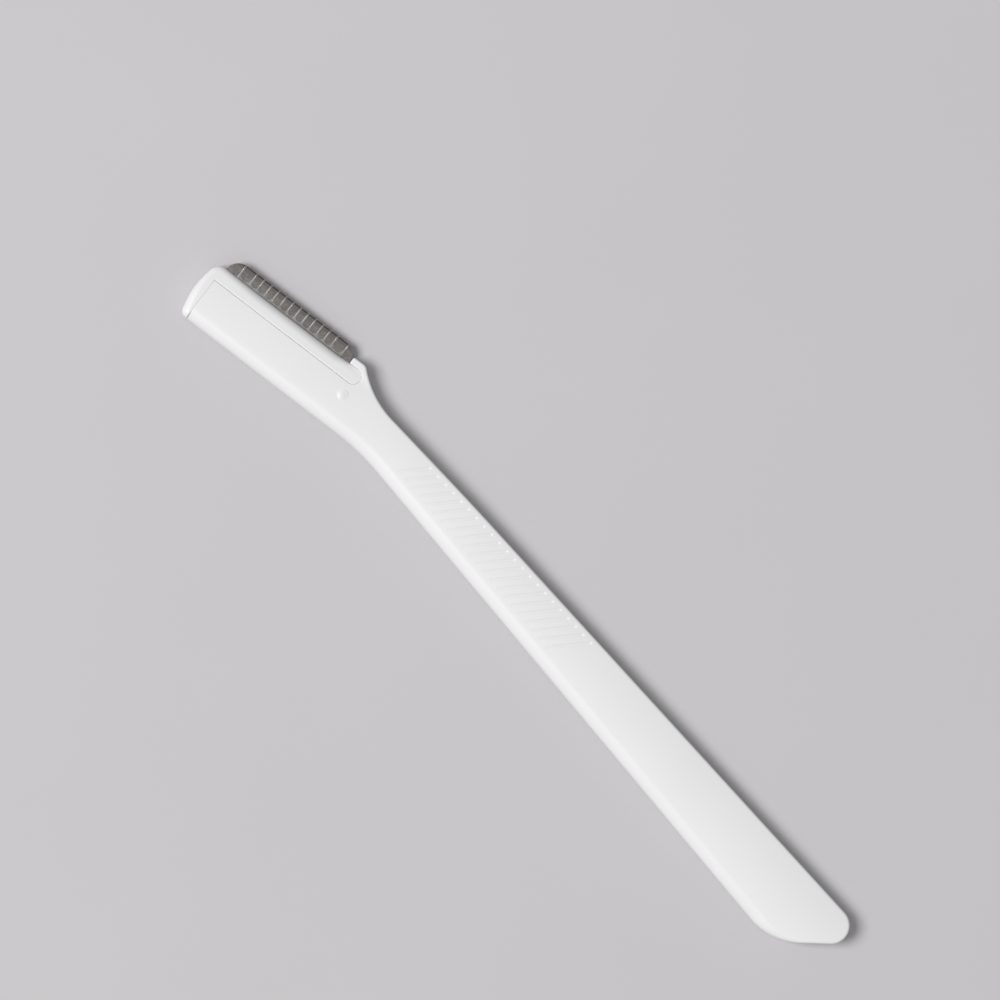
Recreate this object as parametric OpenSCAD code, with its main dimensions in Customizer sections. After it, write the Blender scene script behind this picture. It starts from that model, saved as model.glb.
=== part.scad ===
// Eyebrow razor: a flat handle with a slanted grip, a bent head plate, and a blade cartridge that slides
// onto the plate from the tip. Millimetres. The razor lies flat on z = 0. The origin is on the underside
// straight below the detent stud, where the handle's centreline and the line of the head cross.
// +X runs along the handle towards the head, the blade is on the -Y side, +Z is up.

/* [Body] */
// Thickness of the handle, the head plate and the cartridge
body_t = 4.4; // [3.8:0.1:5.4]
// Rounding along the back edge of the handle and the head
back_round = 2.1; // [1.2:0.1:2.1]
// Rounding along the front edge and round the tail
front_round = 0.4; // [0.3:0.1:1.2]

/* [Handle] */
// Length of the handle from the tail to the detent stud
handle_len = 129.7; // [100:0.1:160]
// Width of the grip where it is widest, near the tail
grip_w = 12.5; // [11:0.1:15]
// Width of the neck below the head
neck_w = 7.8; // [7:0.1:9.6]
// Distance from the tail to the widest place of the grip
widest_at = 12.7; // [10:0.1:25]
// Distance from the neck to the detent stud
neck_reach = 7.85; // [7:0.05:11]
// Width by which the front edge bulges beyond the even taper
belly = 0.4; // [0.1:0.05:0.5]
// Distance from the detent stud at which that bulge runs out
belly_end = 28.6; // [28:0.1:45]
// Radius of the front edge where the bulge runs out
belly_r = 600; // [300:10:650]
// Angle of the slanted cut to the centreline, in degrees
tail_cut_angle = 47; // [38:1:56]
// Corner radius where the slanted cut meets the back edge
tail_back_r = 11.7; // [5:0.1:12]
// Corner radius of the tail's point
tail_tip_r = 3.25; // [1.5:0.05:3.4]
// Radius of the bend in the back edge where the head turns back
bend_r = 43; // [20:1:55]

/* [Grip grooves] */
// Length of the handle that the grooves take
grip_len = 42.6; // [20:0.1:60]
// Distance from the detent stud to the near end of the grooved stretch
grip_from_stud = 19.4; // [14:0.1:30]
// Spacing of the grooves along the front edge
groove_pitch = 1.98; // [1.6:0.02:3]
// Width of one groove at the surface
groove_w = 0.8; // [0.4:0.05:1]
// Depth of one groove
groove_depth = 0.1; // [0.06:0.02:0.34]
// Angle of the grooves to the centreline, in degrees
groove_angle = 54; // [40:1:75]
// Plain margin between the grooves and the front edge
groove_front_margin = 0.9; // [0.8:0.1:1.6]
// Plain margin between the grooves and the back edge
groove_back_margin = 2.8; // [2.2:0.1:3.6]

/* [Head] */
// Angle by which the head turns back from the handle's centreline, in degrees
head_angle = 11.4; // [6:0.1:16]
// Width of the head plate
plate_w = 8.23; // [7:0.01:10]
// Distance from the detent stud to the back edge of the head plate
stud_back = 5.69; // [4.5:0.01:6]
// Diameter of the detent stud's dome
stud_d = 2; // [1.2:0.1:2.4]
// Height of the detent stud's dome
stud_h = 0.25; // [0.2:0.05:0.6]
// Length of the hook that closes the front of the cartridge
hook_len = 2.6; // [2:0.1:2.9]
// Thickness of the hook
hook_t = 1.23; // [1.1:0.01:2.2]
// Distance that the hook's outer corner lies behind the centre of the cartridge's round end
hook_back = 0.65; // [0.2:0.05:1]
// Rounding of the hook's edges
hook_round = 0.35; // [0.15:0.05:0.35]
// Corner radius of the hook where the flared edge reaches it
hook_corner_r = 1.2; // [0.9:0.1:1.5]
// Corner radius of the hook's end
hook_tip_r = 0.4; // [0.4:0.05:0.6]
// Angle of the flared edge below the hook to the line of the head, in degrees
flare_angle = 40.6; // [34:0.2:48]
// Radius of the hollow curve from the neck into the flare, as far as the flare has room for it
flare_r = 17; // [6:0.5:19]

/* [Carrier] */
// Width of the carrier's bead along the blade
strip_w = 2.75; // [2.4:0.05:3.4]
// Visible seam between the carrier and the handle
seam_gap = 0.12; // [0.05:0.01:0.2]
// Length that the bead's round end reaches behind the detent stud
strip_lead = 0.96; // [0.7:0.02:1.5]
// Length of the cap beyond the head plate
cap_len = 2.17; // [1.8:0.01:3]
// Radius of the cap's bulging end
cap_bulge_r = 15; // [12:0.5:21]
// Rounding of the bead towards the blade
bead_round = 1.9; // [1:0.1:1.9]
// Rounding of the cap's edges
cap_round = 1.35; // [0.8:0.05:1.35]

/* [Tongue] */
// Thickness of the tongue's neck
tongue_t = 1.2; // [0.8:0.1:1.6]
// Depth of the tongue's neck
tongue_neck = 0.9; // [0.6:0.1:1.4]
// Thickness of the key that the tongue carries
key_t = 2; // [1.8:0.1:2.4]
// Depth of the key
key_depth = 1.2; // [0.8:0.1:1.6]
// Running clearance of the tongue in its slot
slide_gap = 0.05; // [0.02:0.01:0.1]
// Distance from the detent stud to the tongue's inner end
tongue_start = 1.5; // [1:0.1:4]

/* [Blade] */
// Length of the blade, which also sets the length of the head plate
blade_len = 27; // [22:0.1:34]
// Thickness of the blade
blade_t = 0.25; // [0.15:0.01:0.3]
// Width of the blade that stands out of the carrier
blade_out = 2.62; // [2:0.02:3.4]
// Width of the blade that the carrier holds
blade_in = 2; // [1.6:0.05:2.1]
// Width of the ground bevel
bevel_w = 0.8; // [0.4:0.05:1.2]
// Thickness left at the very edge
edge_land = 0.02; // [0.01:0.005:0.04]
// Corner radius of the blade beside the hook
heel_r = 2.3; // [0.8:0.05:2.4]
// Corner radius of the blade at the tip
tip_r = 2.5; // [0.8:0.05:2.6]
// Clearance between the hook and the blade
heel_gap = 0.15; // [0.1:0.01:0.3]
// Distance from the blade's tip back to the end of the head plate
tip_gap = 0.29; // [0.2:0.01:1]

/* [Guard] */
// Thickness of the guard's sheet
guard_t = 0.1; // [0.06:0.01:0.12]
// Width of one rib
rib_w = 0.35; // [0.25:0.01:0.5]
// Spacing of the ribs
rib_pitch = 1.62; // [1.2:0.01:2.2]
// Spacing of the first two ribs and of the last two
end_pitch = 2.42; // [1.8:0.01:3]
// Least plain blade between the heel and the first rib
heel_margin = 1.8; // [1.7:0.05:2.4]
// Least plain blade between the last rib and the tip
tip_margin = 2.4; // [2.1:0.05:2.8]
// Width of the guard's spine that shows beside the carrier
spine_show = 0.32; // [0.2:0.02:0.5]
// Clearance between the cutting edge and the fold of the guard
edge_gap = 0.03; // [0.02:0.01:0.06]

/* [Pegs] */
// Radius of the pegs that locate the blade and the guard
peg_r = 0.42; // [0.3:0.01:0.5]
// Clearance round each peg
peg_gap = 0.05; // [0.03:0.01:0.08]
// Distance from each end of the blade to its peg
peg_inset = 4; // [3:0.1:8]
// Depth of the pegs in the upper half of the carrier
peg_depth = 0.7; // [0.4:0.05:0.9]
// Play above the end of each peg
peg_play = 0.1; // [0.05:0.01:0.2]

/* [Hidden] */
$fn = 48;
plastic = [0.93, 0.93, 0.93];
steel = [0.72, 0.71, 0.70];

// Steps of the rounded outlines and edges, in degrees
outline_step = 9;
edge_step = 15;

// Run-out of every cut past the solid that it cuts
overrun = body_t;

// Heights
mid_z = body_t / 2;

// The head in its own frame: u runs along it from the stud, y is positive towards the back edge
back_y = stud_back;
seam_y = stud_back - plate_w;
strip_top_y = seam_y - seam_gap;
strip_y = strip_top_y - strip_w;
strip_mid_y = (strip_top_y + strip_y) / 2;
strip_r = strip_w / 2;
strip_end_u = strip_r - strip_lead;
hook_in_y = strip_y - seam_gap;
hook_out_y = hook_in_y - hook_t;
hook_corner_u = strip_end_u - hook_back;
hook_end_u = hook_corner_u + hook_len;
blade_start = hook_end_u + heel_gap;
blade_end = blade_start + blade_len;
plate_len = blade_end + tip_gap;
cap_u = plate_len + seam_gap;

// The cap's outline, as shares of its length
cap_back_share = 0.66;
cap_front_share = 0.72;
cap_peak_share = 1.17;

// Plan radius over edge rounding where a corner is as tight as its rounding lets it be
tight_share = 1.06;
cap_back_r = cap_round * tight_share;
cap_front_r = max(bead_round, cap_round) * tight_share;
spare_r = back_round * tight_share;

// Part of the flare's straight side that its hollow curve may take
flare_room_share = 0.98;

// The blade
edge_y = strip_y - blade_out;
blade_back_y = strip_y + blade_in;
peg_y = strip_y + blade_in / 2;
peg_us = [blade_start + peg_inset, blade_end - peg_inset];
hole_r = peg_r + peg_gap;

// The guard: inner ribs at one spacing and a wider window at each end, centred in what the margins leave
stack_t = blade_t + 2 * guard_t;
comb_room = blade_len - heel_margin - tip_margin - 2 * end_pitch;
inner_gaps = floor(comb_room / rib_pitch);
comb_slack = comb_room - inner_gaps * rib_pitch;
first_rib_u = blade_start + heel_margin + comb_slack / 2;
second_rib_u = first_rib_u + end_pitch;
rib_us = [
    first_rib_u,
    for (i = [0:inner_gaps]) second_rib_u + i * rib_pitch,
    second_rib_u + inner_gaps * rib_pitch + end_pitch
];
rib_count = len(rib_us);
nose_r = stack_t / 2;
fold_r = blade_t / 2;
nose_y = edge_y - edge_gap + fold_r;
arch_y = strip_y - spine_show;

// The handle in the part's own frame: distance of the back edge and of the front edge from the centreline
half_slope = (grip_w - neck_w) / 2 / (handle_len - widest_at - neck_reach);
function half_w(x) = neck_w / 2 - half_slope * (x + neck_reach);
function front_w(x) = half_w(x) + belly * max(0, min(1, (-x - neck_reach) / (belly_end - neck_reach)));

// The grip
groove_count = floor(grip_len / groove_pitch) + 1;
groove_slack = grip_len - (groove_count - 1) * groove_pitch;
groove_start_x = -grip_from_stud - grip_len + groove_slack / 2;
groove_ball_r = (groove_w * groove_w / 4 + groove_depth * groove_depth) / (2 * groove_depth);

// Place on the head, given in the part's own frame
function on_head(u, y) = [
    u * cos(head_angle) - y * sin(head_angle),
    u * sin(head_angle) + y * cos(head_angle)
];

// Place where the line through p along d meets the line through q along e
function meet(p, d, q, e) = p + d * cross(q - p, e) / cross(d, e);

// Vector turned to the left by an angle
function turned(v, a) = [v.x * cos(a) - v.y * sin(a), v.x * sin(a) + v.y * cos(a)];
function unit(v) = v / norm(v);
function flat(c) = [c.x, c.y];

// One corner of an outline, given as [x, y, corner radius, rounding of the edge that leaves it].
// It gives points [x, y, outward x, outward y, rounding], and the rounding changes evenly round the arc.
function corner(outline, i) =
    let (
        n = len(outline),
        before = outline[(i + n - 1) % n],
        here = outline[i],
        after = outline[(i + 1) % n],
        way_in = unit(flat(here) - flat(before)),
        way_out = unit(flat(after) - flat(here)),
        turn = atan2(cross(way_in, way_out), way_in * way_out),
        side = sign(turn),
        r = here[2],
        start = flat(here) - way_in * r * tan(abs(turn) / 2),
        out = [way_in.y, -way_in.x],
        steps = max(2, ceil(abs(turn) / outline_step))
    )
    [
        for (k = [0:steps])
            let (
                share = k / steps,
                normal = turned(out, turn * share),
                place = start - out * side * r + normal * side * r
            )
            [place.x, place.y, normal.x, normal.y, before[3] + (here[3] - before[3]) * share]
    ];

function rounded(outline) = [for (i = [0:len(outline) - 1]) each corner(outline, i)];

// Plan points of a rounded outline
function plan(outline) = [for (p = rounded(outline)) [p.x, p.y]];

// Point of an edge's rounding: inset from the outline at a height above the flat face
function inset_x(p, angle) = p.x - p[2] * p[4] * (1 - sin(angle));
function inset_y(p, angle) = p.y - p[3] * p[4] * (1 - sin(angle));
function rise(p, angle) = p[4] * (1 - cos(angle));

// Solid between z = low and z = high, with its edges rounded as the outline says: a flat core as wide
// as the flat faces are, and a rim round it that is closed by a wall along the core's side
module rounded_slab(outline, low, high) {
    points = rounded(outline);
    n = len(points);
    angles = [for (a = [0:edge_step:90]) a];
    levels = len(angles);
    rings = 2 * levels;
    translate([0, 0, low])
        linear_extrude(height = high - low)
            polygon([for (p = points) [inset_x(p, 0), inset_y(p, 0)]]);
    polyhedron(
        points = [
            for (a = angles)
                for (p = points)
                    [inset_x(p, a), inset_y(p, a), low + rise(p, a)],
            for (j = [levels - 1:-1:0])
                for (p = points)
                    [inset_x(p, angles[j]), inset_y(p, angles[j]), high - rise(p, angles[j])]
        ],
        faces = [
            for (ring = [0:rings - 1])
                for (i = [0:n - 1])
                    let (
                        next = (ring + 1) % rings,
                        a = ring * n + i,
                        b = ring * n + (i + 1) % n,
                        c = next * n + (i + 1) % n,
                        d = next * n + i
                    )
                    each [[a, d, c], [a, c, b]]
        ]
    );
}

// Children given in the head's own frame
module in_head() {
    rotate([0, 0, head_angle]) children();
}

// Outline of the handle: tail point, front edge, flare, hook, head plate and back edge
tail_x = -handle_len + tail_tip_r - tail_tip_r / tan(tail_cut_angle / 2);
tail_p = [tail_x, -front_w(tail_x)];
cut_d = [cos(tail_cut_angle), sin(tail_cut_angle)];
belly_p = [-belly_end, -front_w(-belly_end)];
neck_p = [-neck_reach, -front_w(-neck_reach)];
back_p = [0, half_w(0)];
back_d = [1, -half_slope];
head_d = on_head(1, 0);
flare_p = on_head(hook_corner_u, hook_out_y);
flare_d = on_head(cos(flare_angle), -sin(flare_angle));
flare_foot = meet(neck_p, neck_p - belly_p, flare_p, flare_d);
flare_turn = acos(unit(neck_p - belly_p) * flare_d);
flare_room = norm(flare_p - flare_foot) - hook_corner_r * tan(flare_angle / 2);
flare_fit_r = min(flare_r, flare_room_share * flare_room / tan(flare_turn / 2));
past_tip_u = plate_len + 2 * cap_len;
handle_outline = [
    [each tail_p, tail_tip_r, front_round],
    [each belly_p, belly_r, front_round],
    [each flare_foot, flare_fit_r, front_round],
    [each flare_p, hook_corner_r, hook_round],
    [each on_head(hook_end_u, hook_out_y), hook_tip_r, hook_round],
    [each on_head(hook_end_u, strip_mid_y), hook_round, hook_round],
    [each on_head(past_tip_u, strip_mid_y), spare_r, back_round],
    [each on_head(past_tip_u, back_y), spare_r, back_round],
    [each meet(back_p, back_d, on_head(0, back_y), head_d), bend_r, back_round],
    [each meet(back_p, back_d, tail_p, cut_d), tail_back_r, front_round]
];

// Room that the cartridge takes out of the head, seen from above
module seat_plan() {
    translate([strip_end_u, strip_mid_y]) circle(r = strip_r + seam_gap);
    translate([strip_end_u, hook_in_y]) square([past_tip_u + overrun, seam_y - hook_in_y]);
    translate([plate_len, hook_out_y - overrun]) square([past_tip_u, back_y - hook_out_y + 2 * overrun]);
}

// Cross-section of the slot or of the tongue in it, with a clearance that narrows it
module tongue_section(gap) {
    neck_half = tongue_t / 2 - gap;
    key_half = key_t / 2 - gap;
    key_y = seam_y + tongue_neck;
    translate([strip_mid_y, -neck_half]) square([key_y + key_depth / 2 - strip_mid_y, 2 * neck_half]);
    translate([key_y + gap, -key_half]) square([key_depth - 2 * gap, 2 * key_half]);
}

// The section's first axis is the head's y and its second is height, carried along the head from u
module along_head(u, length) {
    translate([u, 0, mid_z])
        rotate([90, 0, 90])
            linear_extrude(height = length)
                children();
}

module groove(x, surface_z) {
    low_y = -front_w(x) + groove_front_margin;
    run = (half_w(x) - groove_back_margin - low_y) / (sin(groove_angle) + half_slope * cos(groove_angle));
    side = surface_z > mid_z ? 1 : -1;
    translate([x, low_y, surface_z + side * (groove_ball_r - groove_depth)])
        rotate([0, 90, groove_angle])
            cylinder(r = groove_ball_r, h = run);
}

module detent_stud() {
    ball_r = (stud_d * stud_d / 4 + stud_h * stud_h) / (2 * stud_h);
    intersection() {
        translate([0, 0, body_t + stud_h - ball_r])
            sphere(r = ball_r);
        translate([-ball_r, -ball_r, body_t - stud_h])
            cube([2 * ball_r, 2 * ball_r, 2 * stud_h + overrun]);
    }
}

module handle() {
    color(plastic) {
        difference() {
            rounded_slab(handle_outline, 0, body_t);
            in_head()
                translate([0, 0, -overrun])
                    linear_extrude(height = body_t + 2 * overrun)
                        seat_plan();
            in_head()
                along_head(tongue_start, past_tip_u)
                    tongue_section(0);
            for (i = [0:groove_count - 1]) {
                groove(groove_start_x + i * groove_pitch, body_t);
                groove(groove_start_x + i * groove_pitch, 0);
            }
        }
        detent_stud();
    }
}

// Outline of the head with the cap on, which the carrier's L is cut from
blank_u = -strip_lead - 2 * strip_w;
head_outline = [
    [blank_u, strip_y, cap_front_r, bead_round],
    [plate_len + cap_len * cap_front_share, strip_y, cap_front_r, cap_round],
    [plate_len + cap_len * cap_peak_share, (strip_y + back_y) / 2, cap_bulge_r, cap_round],
    [plate_len + cap_len * cap_back_share, back_y, cap_back_r, cap_round],
    [blank_u, back_y, cap_back_r, cap_round]
];

// The carrier's L, seen from above: a bead with a round end, and the cap
module carrier_plan() {
    translate([strip_end_u, strip_mid_y]) circle(r = strip_r);
    translate([strip_end_u, strip_y - overrun]) square([past_tip_u, strip_w + overrun]);
    translate([cap_u, strip_y - overrun]) square([past_tip_u, plate_w + strip_w + 2 * overrun]);
}

// Half of the carrier's body, without pegs or sockets
module carrier_half(low_z) {
    difference() {
        union() {
            intersection() {
                rounded_slab(head_outline, 0, body_t);
                translate([0, 0, low_z])
                    linear_extrude(height = mid_z)
                        carrier_plan();
            }
            intersection() {
                along_head(tongue_start, cap_u + cap_len / 2 - tongue_start)
                    tongue_section(slide_gap);
                translate([0, strip_y, low_z])
                    cube([past_tip_u, plate_w + strip_w, mid_z]);
            }
        }
        translate([blade_start, strip_y - overrun, mid_z - stack_t / 2])
            cube([blade_len, blade_in + overrun, stack_t]);
    }
}

module carrier_lower() {
    color(plastic)
        in_head()
            union() {
                carrier_half(0);
                for (u = peg_us)
                    translate([u, peg_y, mid_z - stack_t])
                        cylinder(r = peg_r, h = stack_t * 3 / 2 + peg_depth);
            }
}

module carrier_upper() {
    color(plastic)
        in_head()
            difference() {
                carrier_half(mid_z);
                for (u = peg_us)
                    translate([u, peg_y, mid_z])
                        cylinder(r = hole_r, h = stack_t / 2 + peg_depth + peg_play);
            }
}

// Blade seen from above, with its two round corners on the cutting side
blade_outline = [
    [blade_start, edge_y, heel_r, 0],
    [blade_end, edge_y, tip_r, 0],
    [blade_end, blade_back_y, edge_gap, 0],
    [blade_start, blade_back_y, edge_gap, 0]
];

// Holes that let the pegs through a sheet
module peg_holes() {
    for (u = peg_us)
        translate([u, peg_y, mid_z - stack_t])
            cylinder(r = hole_r, h = 2 * stack_t);
}

module blade() {
    half_t = blade_t / 2;
    half_land = edge_land / 2;
    color(steel)
        in_head()
            difference() {
                intersection() {
                    along_head(blade_start, blade_len)
                        polygon([
                            [edge_y, -half_land],
                            [edge_y + bevel_w, -half_t],
                            [blade_back_y, -half_t],
                            [blade_back_y, half_t],
                            [edge_y + bevel_w, half_t],
                            [edge_y, half_land]
                        ]);
                    translate([0, 0, mid_z - stack_t])
                        linear_extrude(height = 2 * stack_t)
                            polygon(plan(blade_outline));
                }
                peg_holes();
            }
}

// The guard's sheet folded round the cutting edge, as a section
module guard_section() {
    difference() {
        union() {
            translate([nose_y, 0]) circle(r = nose_r);
            translate([nose_y, -nose_r]) square([blade_back_y - nose_y, stack_t]);
        }
        translate([nose_y, 0]) circle(r = fold_r);
        translate([nose_y, -fold_r]) square([blade_back_y - nose_y + overrun, blade_t]);
    }
}

module guard() {
    color(steel)
        in_head()
            difference() {
                along_head(first_rib_u - rib_w / 2, rib_us[rib_count - 1] - first_rib_u + rib_w)
                    guard_section();
                for (i = [0:rib_count - 2]) {
                    low_u = rib_us[i] + rib_w / 2;
                    window_r = (rib_us[i + 1] - rib_us[i] - rib_w) / 2;
                    translate([low_u, nose_y - nose_r - overrun, mid_z - stack_t])
                        cube([2 * window_r, overrun + nose_r + arch_y - window_r - nose_y, 2 * stack_t]);
                    translate([low_u + window_r, arch_y - window_r, mid_z - stack_t])
                        cylinder(r = window_r, h = 2 * stack_t);
                }
                peg_holes();
            }
}

handle();
carrier_lower();
carrier_upper();
blade();
guard();
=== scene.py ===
"""Eyebrow razor: the visible surfaces, finishes, floor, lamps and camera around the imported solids.

Every piece is a numpy surface in metres, in the frame of the solids: +X runs along the handle towards
the head, the cutting edge is on the -Y side and +Z is up. Places on the head are given as (u, y), with u
along the head from the detent stud, and are turned into the frame when the mesh is made.
"""

import math
from types import SimpleNamespace

import bmesh
import bpy
import numpy as np
from mathutils import Matrix, Vector


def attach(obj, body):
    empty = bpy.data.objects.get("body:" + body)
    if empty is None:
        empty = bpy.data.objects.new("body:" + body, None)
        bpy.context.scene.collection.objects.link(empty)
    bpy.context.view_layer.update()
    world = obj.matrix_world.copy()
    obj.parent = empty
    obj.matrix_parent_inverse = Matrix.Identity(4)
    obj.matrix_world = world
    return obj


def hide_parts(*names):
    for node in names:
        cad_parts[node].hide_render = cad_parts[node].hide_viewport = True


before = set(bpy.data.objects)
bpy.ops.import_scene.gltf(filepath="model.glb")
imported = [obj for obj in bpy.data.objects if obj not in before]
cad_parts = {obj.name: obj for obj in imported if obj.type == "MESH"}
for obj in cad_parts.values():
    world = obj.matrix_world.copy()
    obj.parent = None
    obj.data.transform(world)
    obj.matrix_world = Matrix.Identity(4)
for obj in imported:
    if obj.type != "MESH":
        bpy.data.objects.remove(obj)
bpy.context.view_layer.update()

bl_info = {
    "name": "Eyebrow razor",
    "version": (1, 0, 0),
    "blender": (4, 5, 0),
    "location": "3D View > Sidebar > Razor",
    "description": "Builds the surfaces and finishes of an eyebrow razor around its solids",
    "category": "Add Mesh",
}

MM = 0.001
MERGE_DISTANCE = 0.001 * MM
SHARP_ANGLE = math.radians(38)
ARC_STEP = math.radians(2.5)
# Added to a number of gaps before it is cut to a whole one, so that rounding can't lose a gap
COUNT_SLACK = 0.001


def size(name, millimetres, description):
    """Property for a length, with its default given in millimetres."""
    return bpy.props.FloatProperty(
        name=name, description=description, default=millimetres * MM, min=0, unit="LENGTH", precision=5
    )


def coordinate(name, millimetres, description):
    """Property for a coordinate, which may be negative, with its default given in millimetres."""
    return bpy.props.FloatProperty(
        name=name, description=description, default=millimetres * MM, unit="LENGTH", precision=5
    )


def angle(name, degrees, description):
    """Property for an angle, with its default given in degrees."""
    return bpy.props.FloatProperty(
        name=name, description=description, default=math.radians(degrees), subtype="ANGLE"
    )


def share(name, default, description):
    """Property for a plain number from 0 to 1."""
    return bpy.props.FloatProperty(name=name, description=description, default=default, min=0, max=1)


def colour(name, default, description):
    """Property for a linear colour."""
    return bpy.props.FloatVectorProperty(
        name=name, description=description, default=default, size=3, min=0, max=1, subtype="COLOR"
    )


class HandleSizes(bpy.types.PropertyGroup):
    """Sizes of the handle."""

    thickness: size("Thickness", 4.4, "Thickness of the handle and the cartridge")
    crown: size("Crown", 0.6, "How far the upper face falls from its middle to half the grip width")
    back_rounding: size("Back rounding", 2.1, "Rounding along the back edge")
    front_rounding: size("Front rounding", 0.4, "Rounding along the front edge and round the tail")
    length: size("Length", 129.7, "Length from the tail to the detent stud")
    grip_width: size("Grip width", 12.5, "Width where the grip is widest")
    neck_width: size("Neck width", 7.8, "Width of the neck below the head")
    widest_at: size("Widest at", 12.7, "Distance from the tail to the widest place")
    neck_reach: size("Neck reach", 7.85, "Distance from the neck to the detent stud")
    belly: size("Belly", 0.4, "How far the front edge bulges beyond the even taper")
    belly_end: size("Belly end", 28.6, "Distance from the detent stud at which the bulge runs out")
    belly_bend: size("Belly bend", 600, "Radius of the front edge where the bulge runs out")
    cut_angle: angle("Cut angle", 47, "Angle of the slanted cut at the tail")
    cut_corner: size("Cut corner", 11.7, "Corner radius where the slanted cut meets the back edge")
    point_corner: size("Point corner", 3.25, "Corner radius of the tail's point")
    bend: size("Bend", 43, "Radius of the bend in the back edge")
    nub: size("Nub", 0.05, "Height of the gate mark on the cut")
    nub_width: size("Nub width", 0.9, "Width of the gate mark")
    nub_place: size("Nub place", 9.4, "Distance of the gate mark from the tail's point along the cut")
    ring_place: size("Ring place", 74, "Distance of the faint ring mark from the detent stud")
    ring_radius: size("Ring radius", 1.3, "Radius of the ring mark")
    ring_width: size("Ring width", 0.2, "Half width of the ring mark's line")


class GripSizes(bpy.types.PropertyGroup):
    """Sizes of the grip grooves."""

    length: size("Length", 42.6, "Length of the handle that the grooves take")
    from_stud: size("From stud", 19.4, "Distance from the detent stud to the grooves")
    pitch: size("Pitch", 1.98, "Spacing of the grooves along the front edge")
    width: size("Width", 0.8, "Width of one groove")
    depth: size("Depth", 0.14, "Depth of one groove")
    fade: size("Fade", 2.6, "Length over which a groove fades towards the back edge")
    end_depth: share("End depth", 0.3, "Share of the depth that is left at a groove's far end")
    slant: angle("Slant", 54, "Angle of the grooves to the centreline")
    front_margin: size("Front margin", 0.9, "Plain margin beside the front edge")
    back_margin: size("Back margin", 2.8, "Plain margin beside the back edge")


class HeadSizes(bpy.types.PropertyGroup):
    """Sizes of the head plate, its hook and the detent stud."""

    turn: angle("Turn", 11.4, "Angle by which the head turns back")
    plate_width: size("Plate width", 8.23, "Width of the head plate")
    stud_to_back: size("Stud to back", 5.69, "Distance from the detent stud to the back edge")
    stud_foot: size("Stud foot", 1.15, "Radius at which the detent stud has run out into the face")
    stud_height: size("Stud height", 0.16, "Height of the detent stud")
    hook_length: size("Hook length", 2.6, "Length of the hook")
    hook_thickness: size("Hook thickness", 1.23, "Thickness of the hook")
    hook_back: size("Hook back", 0.65, "Distance of the hook's outer corner behind the pocket's centre")
    hook_rounding: size("Hook rounding", 0.4, "Rounding of the hook's outer edge")
    hook_end_rounding: size("Hook end rounding", 0.3, "Rounding of the hook's end")
    flare_rounding: size("Flare rounding", 0.45, "Rounding of the edge along the flare")
    hook_corner: size("Hook corner", 1.2, "Corner radius where the flare reaches the hook")
    hook_tip: size("Hook tip", 0.4, "Corner radius of the hook's end")
    flare_angle: angle("Flare angle", 40.6, "Angle of the flare to the head")
    flare: size("Flare", 17, "Radius of the hollow from the neck into the flare")
    seam: size("Seam", 0.12, "Gap between the handle and the cartridge in the solids")
    seam_show: size("Seam show", 0.014, "Gap along the head plate that shows")
    cap_show: size("Cap show", 0.004, "Gap between the cap and the head plate that shows")
    pocket_show: size("Pocket show", 0.002, "Gap along the hook and round the pocket that shows")
    crown: size("Crown", 0.92, "How far the head's face falls from its highest line to the blade")
    crown_y: size("Crown line", 3.5, "Distance of the head's highest line from the stud")
    hook_fall: size("Hook fall", 0.6, "How far the hook's face lies below the head's highest line")
    seam_rounding: size("Seam rounding", 0.17, "Rounding of the plate's edge along the seam")
    cap_edge: size("Cap edge", 0.1, "Rounding of both edges along the seam at the cap")
    cap_edge_run: size("Cap edge run", 0.3, "Length in which the seam's rounding passes to that one")
    pocket_rounding: size("Pocket rounding", 0.16, "Rounding of the edge round the pocket")


class CarrierSizes(bpy.types.PropertyGroup):
    """Sizes of the blade carrier."""

    bead_width: size("Bead width", 2.75, "Width of the bead along the blade")
    bead_lead: size("Bead lead", 0.96, "Length that the bead reaches behind the stud")
    bead_rounding: size("Bead rounding", 1.56, "Rounding of the bead towards the blade")
    end_rounding: size("End rounding", 0.14, "Rounding at the very end of the bead")
    end_fall: size("End fall", 0.22, "How far the bead's face falls towards the hook")
    end_ramp: size("End ramp", 2.2, "Length over which the bead's rounding grows to its full size")
    seam_rounding: size("Seam rounding", 0.22, "Rounding of the carrier's edges along the seam")
    cap_length: size("Cap length", 2.17, "Length of the cap beyond the head plate")
    cap_bulge: size("Cap bulge", 15, "Radius of the cap's bulging end")
    cap_rounding: size("Cap rounding", 1.35, "Rounding of the cap's edges")
    corner_radius: size("Corner radius", 2.014, "Corner radius of the cap beside the blade")
    corner_rounding: size("Corner rounding", 1, "Rounding of the cap's edge round that corner")
    corner_run: size("Corner run", 7, "Length beside the blade's tip in which the bead gets that rounding")
    tongue: size("Tongue", 1.2, "Thickness of the tongue's neck")
    tongue_neck: size("Tongue neck", 0.9, "Depth of the tongue's neck")
    key: size("Key", 2, "Thickness of the key on the tongue")
    key_depth: size("Key depth", 1.2, "Depth of the key")
    slide_gap: size("Slide gap", 0.05, "Running clearance of the tongue")
    tongue_start: size("Tongue start", 1.5, "Distance from the stud to the tongue's inner end")


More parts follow.
